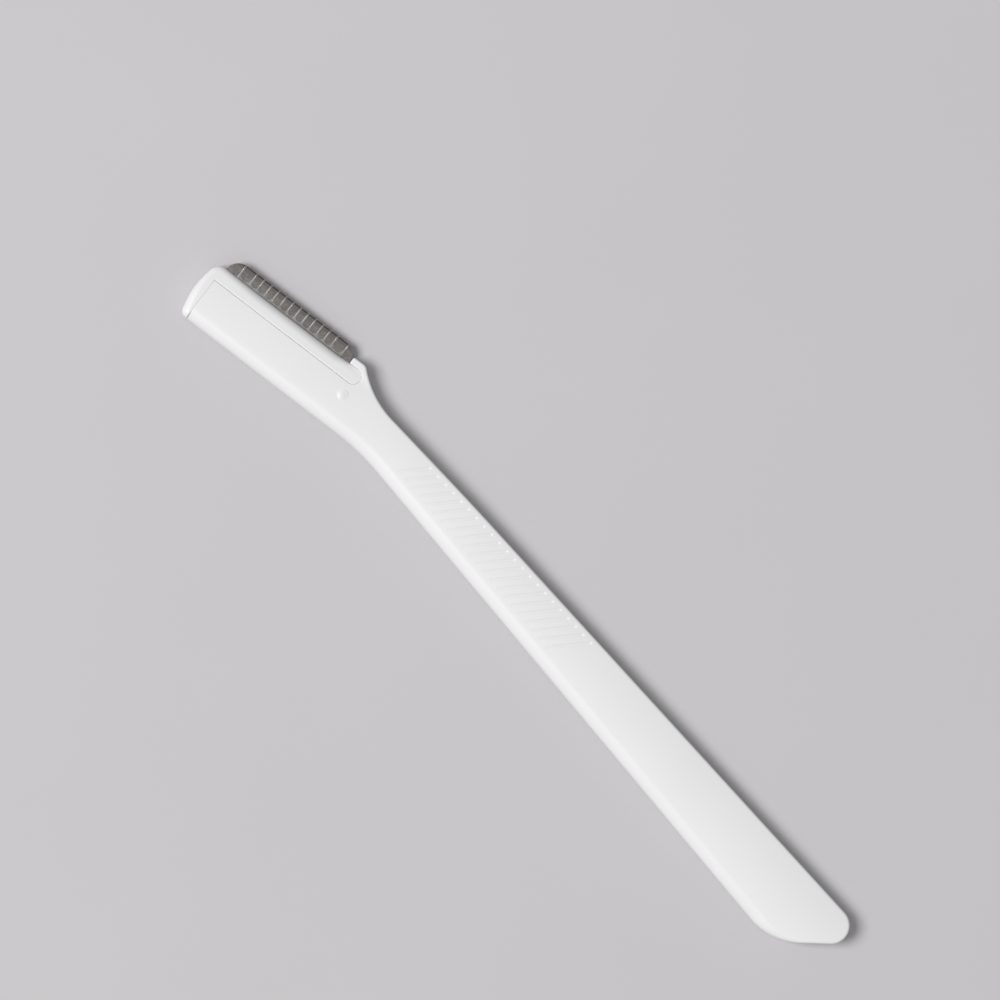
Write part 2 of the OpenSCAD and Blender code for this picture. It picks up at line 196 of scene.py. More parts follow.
class BladeSizes(bpy.types.PropertyGroup):
    """Sizes of the blade and its guard."""

    length: size("Length", 27, "Length of the blade")
    thickness: size("Thickness", 0.25, "Thickness of the blade")
    out: size("Out", 2.62, "Width of the blade that stands out of the carrier")
    held: size("Held", 2, "Width of the blade that the carrier holds")
    bevel: size("Bevel", 0.8, "Width of the ground bevel")
    land: size("Land", 0.02, "Thickness at the very edge")
    hone: size("Hone", 0.2, "Width of the honed strip along the edge")
    hone_thickness: size("Hone thickness", 0.1, "Thickness where the honed strip ends")
    heel_corner: size("Heel corner", 2.3, "Corner radius beside the hook")
    tip_corner: size("Tip corner", 2.5, "Corner radius at the tip")
    heel_gap: size("Heel gap", 0.15, "Clearance between the hook and the blade")
    tip_gap: size("Tip gap", 0.29, "Distance from the blade's tip to the end of the head plate")
    sheet: size("Sheet", 0.1, "Thickness of the guard's sheet")
    lift: size("Lift", 0.08, "How far the guard's sheet stands off the blade")
    rib: size("Rib", 0.35, "Width of one rib")
    burr: size("Burr", 0.03, "How far the guard's sheet is rounded off beside its windows")
    burr_width: size("Burr width", 0.12, "Width of that rounding")
    rib_pitch: size("Rib pitch", 1.62, "Spacing of the ribs")
    end_pitch: size("End pitch", 2.42, "Spacing of the first two ribs and of the last two")
    heel_margin: size("Heel margin", 1.8, "Least plain blade beside the heel")
    tip_margin: size("Tip margin", 2.4, "Least plain blade beside the tip")
    spine: size("Spine", 0.32, "Width of the guard's spine that shows")
    edge_gap: size("Edge gap", 0.03, "Clearance between the edge and the guard's fold")
    # Painted shade on the guard's fold, which turns from the light: where it starts and where it is full
    fold_shade_start: size("Wear start", 0.6, "Distance from the edge at which the fold's wear starts")
    fold_shade_full: size("Wear full", 0.3, "Distance from the edge at which the fold's wear is full")


class Finishes(bpy.types.PropertyGroup):
    """Colours and surfaces of the parts and the floor."""

    plastic: colour("Plastic", (0.815, 0.815, 0.82), "Colour of the white plastic")
    blade: colour("Blade", (0.42, 0.395, 0.38), "Colour of the blade's steel")
    guard: colour("Guard", (0.62, 0.595, 0.575), "Colour of the guard's steel")
    floor: colour("Floor", (0.575, 0.562, 0.575), "Colour of the floor")
    blade_roughness: share("Blade roughness", 0.22, "Roughness of the blade's steel")
    guard_roughness: share("Guard roughness", 0.24, "Roughness of the guard's steel")
    # Painted shade: strength of the darker band on the guard along the bead's foot, where the bead shades
    # the spine
    bead_shade: share("Film", 0.6, "Strength of the oil film on the guard beside the bead")
    # Painted shade: strength of the darker band on the guard's fold, where it turns from the light
    fold_shade: share("Wear", 0.4, "Strength of the wear on the guard's fold")


class StageSizes(bpy.types.PropertyGroup):
    """Places and sizes of the floor, the camera and the lamp."""

    floor: size("Floor", 3000, "Length and width of the floor")
    aim_x: coordinate("Aim X", -31.99, "Place that the camera looks at")
    aim_y: coordinate("Aim Y", -9.01, "Place that the camera looks at")
    distance: size("Distance", 1078.6, "Distance of the camera")
    tilt: angle("Tilt", 3.384, "Lean of the camera from straight above")
    lean: angle("Lean", 81.44, "Direction in which the camera leans")
    up: angle("Up", -41.203, "Direction on the floor that is up in the picture")
    near: size("Near", 10, "Nearest distance that the camera sees")
    far: size("Far", 20000, "Farthest distance that the camera sees")
    lens: bpy.props.FloatProperty(name="Lens", description="Focal length", default=221.39, unit="CAMERA")
    sensor: bpy.props.FloatProperty(name="Sensor", description="Sensor width", default=36, unit="CAMERA")
    key_power: bpy.props.FloatProperty(
        name="Key power", description="Power of the large lamp", default=45.8, unit="POWER"
    )
    key_height: angle("Key height", 56, "Angle of the large lamp above the floor")
    key_turn: angle("Key turn", 48.7, "Direction of the large lamp on the floor")
    key_distance: size("Key distance", 2400, "Distance of the large lamp")
    key_width: size("Key width", 1114, "Width and height of the large lamp")
    sky: share("Sky", 0.37, "Strength of the even light from all round")


def unit(vector):
    """The vector made one long."""
    return vector / np.linalg.norm(vector)


def cross2(a, b):
    """Cross product of two plan vectors."""
    return a[0] * b[1] - a[1] * b[0]


def turned(vector, amount):
    """Plan vector turned to the left. The amount may be an array."""
    c, s = np.cos(amount), np.sin(amount)
    return np.stack([vector[0] * c - vector[1] * s, vector[0] * s + vector[1] * c], -1)


def meet(p, d, q, e):
    """Place where the line through p along d meets the line through q along e."""
    return p + d * cross2(q - p, e) / cross2(d, e)


def direction(height, turn):
    """Unit vector at one angle above the floor and another on the floor."""
    return Vector((math.cos(height) * math.cos(turn), math.cos(height) * math.sin(turn), math.sin(height)))


def arc_shares(steps):
    """Shares of a radius at equal angles over a quarter turn: 1 minus sine, from 0 up to 1."""
    return 1 - np.sin(np.linspace(math.pi / 2, 0, steps))


def eased(way):
    """Share of a way with a gentle start and end: three times its square minus twice its cube."""
    return way * way * (3 - 2 * way)


def nearest_on(places, starts, ends):
    """The nearest straight line to each place: its distance, its number, and how far along it, as a
    share, the nearest point lies."""
    ways = ends - starts
    along = np.clip(((places[:, None] - starts) * ways).sum(-1) / (ways**2).sum(-1), 0, 1)
    gaps = np.linalg.norm(places[:, None] - starts - along[..., None] * ways, axis=-1)
    row, line = np.arange(len(places)), gaps.argmin(1)
    return gaps[row, line], line, along[row, line]


class Outline:
    """An open line in plan through corners [x, y, corner radius, edge rounding]. Each inner corner with a
    radius is an arc tangent to both sides. The edge rounding passes evenly from the last corner's to this
    one's, round the arc, or along the side before a corner without one."""

    def __init__(self, corners):
        c = np.array(corners, float)
        rows, self.arcs = [c[0, [0, 1, 3]]], []
        for before, here, after in zip(c[:-2], c[1:-1], c[2:]):
            way_in, way_out = unit(here[:2] - before[:2]), unit(after[:2] - here[:2])
            turn = math.atan2(cross2(way_in, way_out), way_in @ way_out)
            if here[2] == 0 or abs(turn) < ARC_STEP / 10:
                rows.append(here[[0, 1, 3]])
                continue
            side = math.copysign(1, turn)
            out = np.array([way_in[1], -way_in[0]])
            steps = max(2, math.ceil(abs(turn) / ARC_STEP))
            start = here[:2] - way_in * here[2] * math.tan(abs(turn) / 2)
            spread = np.linspace(0, 1, steps + 1)
            places = start - out * side * here[2] + turned(out, turn * spread) * side * here[2]
            rounding = before[3] + (here[3] - before[3]) * spread
            self.arcs.append(SimpleNamespace(first=len(rows), radius=here[2], turn=abs(turn)))
            rows.extend(np.column_stack([places, rounding]))
            self.arcs[-1].last = len(rows) - 1
        rows.append(c[-1, [0, 1, 3]])
        table = np.array(rows)
        steps = np.linalg.norm(np.diff(table[:, :2], axis=0), axis=1)
        fresh = np.append(True, steps > MERGE_DISTANCE / 10)
        for arc in self.arcs:
            arc.first, arc.last = (np.cumsum(fresh)[[arc.first, arc.last]] - 1).tolist()
        self.places, self.rounding = table[fresh, :2], table[fresh, 2]
        self.lengths = np.append(0, np.cumsum(np.linalg.norm(np.diff(self.places, axis=0), axis=1)))

    def at(self, lengths):
        """Places at lengths along the line."""
        return np.stack([np.interp(lengths, self.lengths, self.places[:, i]) for i in (0, 1)], -1)

    def nearest(self, places):
        """Distance of each place from the line, the rounding there, and the length along the line."""
        gap, k, t = nearest_on(places, self.places[:-1], self.places[1:])
        rounding, length = (row[k] * (1 - t) + row[k + 1] * t for row in (self.rounding, self.lengths))
        return gap, rounding, length


def edge_drop(places, outlines):
    """How far a face falls at each place because of the roundings along its outlines: a quarter circle
    of the outline's rounding, read at the distance from it. The deepest one counts."""
    drop = np.zeros(len(places))
    for outline in outlines:
        gap, r, _ = outline.nearest(places)
        inside = r - np.minimum(gap, r)
        drop = np.maximum(drop, r - np.sqrt(r * r - inside * inside))
    return drop


class Shell:
    """Grids and flat faces that become one mesh."""

    def __init__(self):
        self.vertices, self.faces, self.count = [], [], 0

    def grid(self, points):
        """Quads over a grid of points, rows by columns by three."""
        rows, columns = points.shape[:2]
        ids = self.count + np.arange(rows * columns).reshape(rows, columns)
        quads = np.stack([ids[:-1, :-1], ids[1:, :-1], ids[1:, 1:], ids[:-1, 1:]], -1)
        self.vertices.append(points.reshape(-1, 3))
        self.faces.extend(quads.reshape(-1, 4).tolist())
        self.count += rows * columns

    def face(self, *runs):
        """One flat face whose border is the runs of points after each other."""
        points = np.concatenate([np.reshape(run, (-1, 3)) for run in runs])
        fresh = np.linalg.norm(points - np.roll(points, 1, 0), axis=1) > MERGE_DISTANCE
        points = points[fresh]
        self.vertices.append(points)
        self.faces.append(list(range(self.count, self.count + len(points))))
        self.count += len(points)

    def prism(self, section, low, high):
        """Closed bar along u whose section is a list of (y, z)."""
        section = np.array(section)
        ends = [np.column_stack([np.full(len(section), u), section]) for u in (low, high)]
        ring = np.stack([np.vstack([end, end[:1]]) for end in ends])
        self.grid(ring)
        self.face(ends[0])
        self.face(ends[1])

    def make(self, name, material, turn=0.0, flip_z=None):
        """The mesh object, turned into the frame and mirrored to heights below flip_z if that is given:
        doubles merged, faces outwards, smooth but for its sharp edges."""
        points = np.concatenate(self.vertices)
        if flip_z is not None:
            points[:, 2] = flip_z - points[:, 2]
        points = raised(turned(points[:, :2].T, turn), points[:, 2])
        mesh = bpy.data.meshes.new(name)
        mesh.from_pydata(points.tolist(), [], self.faces)
        mesh.validate()
        bm = bmesh.new()
        bm.from_mesh(mesh)
        bmesh.ops.remove_doubles(bm, verts=bm.verts, dist=MERGE_DISTANCE)
        bmesh.ops.dissolve_degenerate(bm, edges=bm.edges, dist=MERGE_DISTANCE / 10)
        bmesh.ops.recalc_face_normals(bm, faces=bm.faces)
        bm.to_mesh(mesh)
        bm.free()
        mesh.polygons.foreach_set("use_smooth", np.ones(len(mesh.polygons), bool))
        mesh.set_sharp_from_angle(angle=SHARP_ANGLE)
        mesh.materials.append(material)
        return new_object(name, mesh)


def new_object(name, data):
    """A new object of the scene that shows some data."""
    made = bpy.data.objects.new(name, data)
    bpy.context.scene.collection.objects.link(made)
    return made


def raised(places, heights):
    """Plan places with heights, as points."""
    return np.concatenate([places, np.broadcast_to(heights, places.shape[:-1])[..., None]], -1)


def station_grid(starts, ends, shares):
    """Grid of places at shares of the way from each start to its end."""
    return starts[:, None] + (ends - starts)[:, None] * shares[..., None]


def wall(places, levels):
    """Grid of points under each other: plan places by a list of heights or height arrays."""
    return np.stack([raised(places, level) for level in levels], 1)


def head_places(scene):
    """Places on the head that several pieces share, in its own frame."""
    head, carrier = scene.razor_head, scene.razor_carrier
    blade, handle = scene.razor_blade, scene.razor_handle
    p = SimpleNamespace(mid_z=handle.thickness / 2, top_z=handle.thickness, back_y=head.stud_to_back)
    p.seam_y = p.back_y - head.plate_width
    p.fill = (head.seam - head.seam_show) / 2
    p.cap_fill = (head.seam - head.cap_show) / 2
    p.pocket_fill = (head.seam - head.pocket_show) / 2
    p.bead_top_y = p.seam_y - head.seam
    p.bead_low_y = p.bead_top_y - carrier.bead_width
    p.bead_mid_y = (p.bead_top_y + p.bead_low_y) / 2
    p.bead_radius = carrier.bead_width / 2
    p.bead_end_u = p.bead_radius - carrier.bead_lead
    p.hook_in_y = p.bead_low_y - head.seam
    p.hook_out_y = p.hook_in_y - head.hook_thickness
    p.hook_corner_u = p.bead_end_u - head.hook_back
    p.hook_end_u = p.hook_corner_u + head.hook_length
    p.pocket_radius = p.bead_radius + head.seam
    p.blade_start = p.hook_end_u + blade.heel_gap
    p.blade_end = p.blade_start + blade.length
    p.plate_end = p.blade_end + blade.tip_gap
    p.cap_u = p.plate_end + head.seam
    p.edge_y = p.bead_low_y - blade.out
    p.held_y = p.bead_low_y + blade.held
    p.half_stack = blade.thickness / 2 + blade.lift + blade.sheet
    p.middle_y = (p.back_y + p.bead_low_y) / 2
    p.crown, p.crown_y, p.hook_fall = head.crown, head.crown_y, head.hook_fall
    return p


def head_crown(p, y):
    """Fall of the upper face on the head: the crown times the square of the share of the way from the
    highest line to the bead's low side."""
    return p.crown * ((y - p.crown_y) / (p.crown_y - p.bead_low_y)) ** 2


def hook_crown(p, y):
    """The same fall on the handle, where it eases into the hook's flat face in front of the seam."""
    ease = eased(np.clip((p.seam_y - y) / (p.seam_y - p.hook_in_y), 0, 1))
    return head_crown(p, y) * (1 - ease) + p.hook_fall * ease


class HandlePlan:
    """Outlines of the handle and its half width, in the frame of the solids."""

    def __init__(self, scene):
        s, head, p = scene.razor_handle, scene.razor_head, head_places(scene)
        self.s, self.head, self.p = s, head, p
        self.slope = (s.grip_width - s.neck_width) / 2 / (s.length - s.widest_at - s.neck_reach)
        tail_x = -s.length + s.point_corner - s.point_corner / math.tan(s.cut_angle / 2)
        tail = np.array([tail_x, -self.front_half(tail_x)])
        cut_way = np.array([math.cos(s.cut_angle), math.sin(s.cut_angle)])
        back_way = np.array([1, -self.slope])
        back_place = np.array([0, self.half(0)])
        cut_back = meet(back_place, back_way, tail, cut_way)
        cut_middle = (tail + cut_back) / 2
        flare_place = self.on_head(p.hook_corner_u, p.hook_out_y)
        flare_way = self.on_head(math.cos(head.flare_angle), -math.sin(head.flare_angle))
        belly = np.array([-s.belly_end, -self.front_half(-s.belly_end)])
        neck = np.array([-s.neck_reach, -self.front_half(-s.neck_reach)])
        flare_foot = meet(neck, neck - belly, flare_place, flare_way)
        bend = meet(back_place, back_way, self.on_head(0, p.back_y), self.on_head(1, 0))
        hook_in_y, plate_end = p.hook_in_y + p.pocket_fill, p.plate_end + p.cap_fill
        self.plate_y, self.nose_u = p.seam_y - p.fill, p.bead_end_u - p.pocket_radius + p.pocket_fill
        front, back, hook_end = s.front_rounding, s.back_rounding, head.hook_end_rounding
        pocket, seam = head.pocket_rounding, head.seam_rounding
        pocket_radius = (self.plate_y - hook_in_y) / 2
        self.front = Outline([
            [*cut_middle, 0, front],
            [*tail, s.point_corner, front],
            [*belly, s.belly_bend, front],
            [*flare_foot, head.flare, head.flare_rounding],
            [*flare_place, head.hook_corner, head.hook_rounding],
            [*self.on_head(p.hook_end_u, p.hook_out_y), head.hook_tip, hook_end],
            [*self.on_head(p.hook_end_u, hook_in_y), 0, hook_end],
        ])
        self.back = Outline([
            [*cut_middle, 0, front],
            [*cut_back, s.cut_corner, back],
            [*bend, s.bend, back],
            [*self.on_head(plate_end, p.back_y), 0, back],
        ])
        self.inner = Outline([
            [*self.on_head(p.hook_end_u, hook_in_y), 0, pocket],
            [*self.on_head(self.nose_u, hook_in_y), pocket_radius, pocket],
            [*self.on_head(self.nose_u, self.plate_y), pocket_radius, seam],
            [*self.on_head(plate_end, self.plate_y), 0, seam],
            [*self.on_head(plate_end, self.plate_y + head.cap_edge_run), 0, head.cap_edge],
            [*self.on_head(plate_end, p.back_y), 0, head.cap_edge],
        ])
        self.outlines = (self.front, self.back, self.inner)
        self.tail, self.cut_way, self.plate_end = tail, cut_way, plate_end

    def half(self, x):
        """Distance of the back edge from the centreline at x."""
        return self.s.neck_width / 2 - self.slope * (x + self.s.neck_reach)

    def front_half(self, x):
        """Distance of the front edge from the centreline at x, with the belly."""
        run_out = (-x - self.s.neck_reach) / (self.s.belly_end - self.s.neck_reach)
        return self.half(x) + self.s.belly * np.clip(run_out, 0, 1)

    def on_head(self, u, y):
        """Place on the head in the frame of the solids."""
        return turned((u, y), self.head.turn)

    def seen_from_head(self, places):
        """Places in the frame of the head."""
        return turned(np.moveaxis(places, -1, 0), -self.head.turn)


def crossing(places, way, values):
    """Places where parallel lines cross a run of places. The way is square to the lines, and the values
    are their distances along it."""
    along = places @ way
    order = np.argsort(along, kind="stable")
    return np.stack([np.interp(values, along[order], places[order, i]) for i in (0, 1)], -1)


def groove_lines(plan, grip):
    """First and last place of each groove's straight middle line."""
    count = math.floor(grip.length / grip.pitch + COUNT_SLACK) + 1
    slack = grip.length - (count - 1) * grip.pitch
    x = -grip.from_stud - grip.length + slack / 2 + grip.pitch * np.arange(count)
    y = -plan.front_half(x) + grip.front_margin
    c, s = math.cos(grip.slant), math.sin(grip.slant)
    run = (plan.half(x) - grip.back_margin - y) / (s + plan.slope * c)
    inset = grip.width / 2
    starts = np.stack([x + c * inset, y + s * inset], -1)
    ends = np.stack([x + c * (run - inset), y + s * (run - inset)], -1)
    return starts, ends


def groove_depth(places, starts, ends, grip):
    """Depth of the grooves at each place: one cosine wave over the groove's width, read at the distance
    from the nearest groove's line, so both ends of a groove are round. It fades evenly to the far end."""
    gap, k, t = nearest_on(places, starts, ends)
    share_out = np.minimum(gap / (grip.width / 2), 1)
    to_end = (1 - t) * np.linalg.norm(ends - starts, axis=1)[k]
    fade = grip.end_depth + (1 - grip.end_depth) * np.clip(to_end / grip.fade, 0, 1)
    return grip.depth * fade * (1 + np.cos(math.pi * share_out)) / 2


def columns(lengths, near, far):
    """Shares along station lines of some lengths: distances from the first end, then distances from the
    far end. Both are lists of rows, each the same for all lines or given line by line."""
    near, far = (
        np.concatenate([np.broadcast_to(part, (len(lengths), np.shape(part)[-1])) for part in parts], 1)
        for parts in (near, far)
    )
    return np.concatenate([near / lengths[:, None], 1 - far / lengths[:, None]], 1)


def handle_lines(plan, grip, carrier, grooves):
    """Station lines of the handle from the front edge to the back edge, slanted like the grooves on the
    grip and square to the head on the head. Each is cut in a front and a back part. They share their
    border up to the nose of the pocket and part there, so one is the hook and the other the head plate."""
    p, head, edges = plan.p, plan.head, (plan.front, plan.back)
    first_arcs = [edge.arcs[0] for edge in edges]
    front_first, back_first = (arc.last for arc in first_arcs)
    tail_lines, rear_lines, neck_lines, nose_lines, hook_lines, plate_lines = 30, 34, 44, 17, 8, 22

    def lengths_at(line, ends):
        """Lengths along both edges at which one of some lines ends."""
        return [edge.nearest(places[[line]])[2][0] for edge, places in zip(edges, ends)]

    def ends_between(begin, end, shares):
        """Ends of lines on both edges, at shares of the way from one pair of lengths to another."""
        return [edge.at(a + (b - a) * shares) for edge, a, b in zip(edges, begin, end)]

    # The tail: lines parallel to the cut, close together near it
    reach = first_arcs[1].radius * (1 - math.cos(first_arcs[1].turn))
    inset = reach * (1 - np.cos(np.linspace(0, math.pi / 2, tail_lines)))
    tail_at = [
        edge.lengths[arc.first] + arc.radius * np.arccos(1 - inset / arc.radius)
        for edge, arc in zip(edges, first_arcs)
    ]
    tail_ends = [edge.at(lengths) for edge, lengths in zip(edges, tail_at)]

    # The grip: lines along the grooves
    grip_way = np.array([math.sin(grip.slant), -math.cos(grip.slant)])
    groove_shares = np.array([0.2, 0.4, 0.6, 0.8, 1, 1.25])
    groove_offsets = grip.width / 2 * np.concatenate([-groove_shares[::-1], [0], groove_shares])
    values = ((grooves[0] @ grip_way)[:, None] + groove_offsets).ravel()
    grip_ends = [
        crossing(plan.front.places[front_first : plan.front.arcs[2].first + 1], grip_way, values),
        crossing(plan.back.places[back_first : plan.back.arcs[1].first + 1], grip_way, values),
    ]

    # The head: lines square to it
    quarter = np.linspace(0, math.pi / 2, nose_lines)
    before_nose = plan.nose_u - head.pocket_rounding * np.array([3, 2, 1.4, 1, 0.7, 0.4, 0.15])
    nose_end_u = plan.nose_u + p.pocket_radius
    pocket_u = nose_end_u - p.pocket_radius * np.cos(quarter)
    hook_u = np.unique(np.concatenate([
        np.linspace(nose_end_u, carrier.tongue_start, hook_lines)[1:],
        p.hook_end_u - head.hook_tip * (1 - np.sin(quarter[1:])),
    ]))
    plate_u = np.concatenate([
        np.linspace(p.hook_end_u, plan.plate_end - 4 * head.seam_rounding, plate_lines)[1:],
        plan.plate_end - head.seam_rounding * np.array([2.6, 1.6, 1, 0.6, 0.3, 0.1, 0]),
    ])
    head_u = np.concatenate([before_nose, pocket_u, hook_u, plate_u])
    nose = len(before_nose)
    hook_end = nose + len(pocket_u) + len(hook_u)
    tongue_at = int(abs(head_u - carrier.tongue_start).argmin())

    head_way, inner = plan.on_head(1, 0), plan.inner.places
    nose_index = int((inner @ head_way).argmin())
    head_front = crossing(plan.front.places[front_first:-1], head_way, head_u[:hook_end])
    low_border = crossing(inner[: nose_index + 1], head_way, head_u[nose:hook_end])
    seam_border = crossing(inner[nose_index:-2], head_way, head_u[nose:])
    head_back = crossing(plan.back.places[back_first:], head_way, head_u)
    middle = plan.on_head(before_nose, np.full(nose, p.bead_mid_y))

    # The stretches between: behind the grip, with the lines closer together towards the tail, and the neck
    crowding = 1.6
    rear_shares = np.linspace(0, 1, rear_lines)[1:-1] ** crowding
    neck_shares = np.linspace(0, 1, neck_lines)[1:-1]
    tail_end, neck_end = [lengths[-1] for lengths in tail_at], lengths_at(0, (head_front, head_back))
    rear_ends = ends_between(tail_end, lengths_at(0, grip_ends), rear_shares)
    neck_ends = ends_between(lengths_at(-1, grip_ends), neck_end, neck_shares)

    # The border between the front and the back part moves from the middle of the grip to the pocket's nose
    plain_front, plain_back = map(np.concatenate, zip(tail_ends, rear_ends, grip_ends, neck_ends))
    front, back = np.concatenate([plain_front, head_front]), np.concatenate([plain_back, head_back])
    plain, body = len(plain_front), len(plain_front) - len(neck_shares)
    on_head = np.concatenate([np.zeros(body), eased(neck_shares), np.ones(len(head_u))])
    grip_share = 0.46
    head_share = np.linalg.norm(middle[0] - head_front[0]) / np.linalg.norm(head_back[0] - head_front[0])
    shares = grip_share + (head_share - grip_share) * on_head[:plain]
    plain_middle = plain_front + (plain_back - plain_front) * shares[:, None]
    return SimpleNamespace(
        front=front,
        back=back,
        middle_low=np.concatenate([plain_middle, middle, low_border]),
        middle_high=np.concatenate([plain_middle, middle, seam_border]),
        on_head=on_head,
        nose=plain + nose,
        tongue=plain + tongue_at,
        slot_u=head_u[tongue_at:],
    )


def handle_grids(plan, grip, lines):
    """Grids of places over the front and the back part of the handle. The columns on the grip follow the
    roundings and the grooves' ends, and those on the head follow the seams."""
    head, stretch = plan.head, 1 / math.sin(grip.slant)
    arc = arc_shares(9)
    end_offsets = grip.width / 2 * np.array([-0.25, 0, 0.15, 0.4, 0.7, 1, 1.4])
    seam_offsets = head.seam_rounding * np.array([0.1, 0.3, 0.6, 1, 1.5, 2.3, 3.2])
    pocket_offsets = head.pocket_rounding * np.array([0.08, 0.25, 0.5, 0.8, 1.1, 1.5, 2])

    def blended(grip_columns, head_columns, gaps):
        """Shares that pass from the grip's to the head's, with even ones added in the wide gaps."""
        q = lines.on_head[: len(grip_columns), None]
        shares = np.maximum.accumulate(np.clip((1 - q) * grip_columns + q * head_columns, 0, 1), 1)
        steps = np.linspace(0, 1, 8)[1:-1]
        for gap in sorted(gaps, reverse=True):
            extra = shares[:, gap, None] * (1 - steps) + shares[:, gap + 1, None] * steps
            shares = np.concatenate([shares[:, : gap + 1], extra, shares[:, gap + 1 :]], 1)
        return shares

    length = np.linalg.norm(lines.middle_low - lines.front, axis=1)
    r = plan.front.nearest(lines.front)[1][:, None]
    ends_near = grip.front_margin * stretch + end_offsets
    grip_columns = columns(length, [r * stretch * arc, ends_near], [[0]])
    head_columns = columns(length, [r * arc], [pocket_offsets[::-1], [0]])
    low_shares = blended(grip_columns, head_columns, (len(arc) - 1, len(arc) + len(end_offsets) - 1))

    length = np.linalg.norm(lines.back - lines.middle_high, axis=1)
    r = plan.back.nearest(lines.back)[1][:, None]
    ends_far = grip.back_margin * stretch + end_offsets[::-1]
    grip_columns = columns(length, [[0]], [ends_far, r * stretch * arc[::-1]])
    head_columns = columns(length, [[0], seam_offsets], [r * arc[::-1]])
    high_shares = blended(grip_columns, head_columns, (0, len(seam_offsets)))
    return (
        station_grid(lines.front, lines.middle_low, low_shares),
        station_grid(lines.middle_high, lines.back, high_shares),
    )


def handle_faces(plan, grip, grooves, places, weight):
    """Upper and lower face of the handle over a grid of places: the crown, edge_drop and groove_depth are
    taken off. The crown is a parabola over the grip's width, and passes to the head's by the weight."""
    s, p, flat = plan.s, plan.p, places.reshape(-1, 2)
    weight = np.repeat(weight, places.shape[1])
    grip_crown = s.crown * (flat[:, 1] / (s.grip_width / 2)) ** 2
    crown = grip_crown * (1 - weight) + hook_crown(p, plan.seen_from_head(flat)[:, 1]) * weight
    room = np.minimum(1, (p.top_z - crown) / (2 * s.back_rounding))
    drop = edge_drop(flat, plan.outlines) * room + groove_depth(flat, *grooves, grip)
    return [raised(places, z.reshape(places.shape[:2])) for z in (p.top_z - crown - drop, drop)]


def side_wall(faces, rows, column, levels=()):
    """Wall between two faces along a column of some rows, by way of some levels."""
    top, under = (face[rows, column] for face in faces)
    return np.stack([top, *(raised(top[:, :2], level) for level in levels), under], 1)


def handle_shell(scene):
    """The handle: the upper and the lower face over both parts of the station lines, the walls between
    them, the slot for the tongue and the flat ends."""
    plan, grip, carrier = HandlePlan(scene), scene.razor_grip, scene.razor_carrier
    p, grooves = plan.p, groove_lines(plan, grip)
    lines = handle_lines(plan, grip, carrier, grooves)
    low_faces, high_faces = (
        handle_faces(plan, grip, grooves, places, lines.on_head[: len(places)])
        for places in handle_grids(plan, grip, lines)
    )
    (low_top, low_under), (high_top, high_under) = low_faces, high_faces

    # Walls along the front, the back, the hook's inner side and the seam up to the tongue's slot
    neck_half, key_half = carrier.tongue / 2, carrier.key / 2
    slot_levels = (p.mid_z + neck_half, p.mid_z - neck_half)
    front_wall = side_wall(low_faces, np.s_[:], 0, [p.mid_z])
    back_wall = side_wall(high_faces, np.s_[:], -1)
    hook_wall = side_wall(low_faces, np.s_[lines.nose :], -1, slot_levels)
    pocket_wall = side_wall(high_faces, np.s_[lines.nose : lines.tongue + 1], 0, slot_levels)

    # The slot, from its blind end to the end of the plate
    key_y = p.seam_y + carrier.tongue_neck
    slot_y = np.repeat([plan.plate_y, key_y, key_y + carrier.key_depth, key_y, plan.plate_y], 2)
    up = np.repeat([neck_half, key_half], 2)
    slot = raised(plan.on_head(*np.meshgrid(lines.slot_u, slot_y, indexing="ij")), 0)
    slot[:, 1:-1, 2] = p.mid_z + np.concatenate([up, -up[::-1]])
    slot[:, 0, 2] = high_top[lines.tongue :, 0, 2]
    slot[:, -1, 2] = high_under[lines.tongue :, 0, 2]

    shell = Shell()
    for grid in (*low_faces, *high_faces, front_wall, back_wall, hook_wall, pocket_wall, slot):
        shell.grid(grid)
    shell.face(slot[0, 1:-1])

    # Flat ends: the cut at the tail, the hook's end and the end of the plate
    tail_top, tail_under = (np.concatenate([a[0], b[0]]) for a, b in zip(low_faces, high_faces))
    shell.face(tail_top, back_wall[0], tail_under[::-1], front_wall[0, ::-1])
    shell.face(low_top[-1], hook_wall[-1], low_under[-1, ::-1], front_wall[-1, ::-1])
    shell.face(high_top[-1], back_wall[-1], high_under[-1, ::-1], slot[-1, ::-1])
    return shell, plan


def knob(shell, place, across, along, foot, height):
    """A low round knob on a face: height times the square of 1 minus the squared share of its foot's
    radius, turned round its axis, with a hidden base behind the face."""
    sink, base, rings, spokes = 0.004 * MM, 0.4 * MM, 22, 49
    share_out, turn = np.linspace(0, 1, rings)[:, None], np.linspace(0, 2 * math.pi, spokes)[None]
    rise = (height + sink) * (1 - share_out**2) ** 2 - sink
    axis = np.cross(across, along)
    ring = np.cos(turn)[..., None] * across + np.sin(turn)[..., None] * along
    top = place + foot * share_out[..., None] * ring + rise[..., None] * axis
    shell.grid(top)
    shell.grid(np.stack([top[-1], top[-1] - base * axis]))
    shell.face(top[-1, :-1] - base * axis)


def marks_shell(shell, plan):
    """The detent stud on the head and the small gate mark on the cut at the tail."""
    s, head, p = plan.s, plan.head, plan.p
    along_x, along_y, up = np.eye(3)
    knob(shell, up * (p.top_z - head_crown(p, 0)), along_x, along_y, head.stud_foot, head.stud_height)
    on_cut = np.append(plan.tail + plan.cut_way * s.nub_place, p.mid_z)
    knob(shell, on_cut, up, np.append(plan.cut_way, 0), s.nub_width / 2, s.nub)


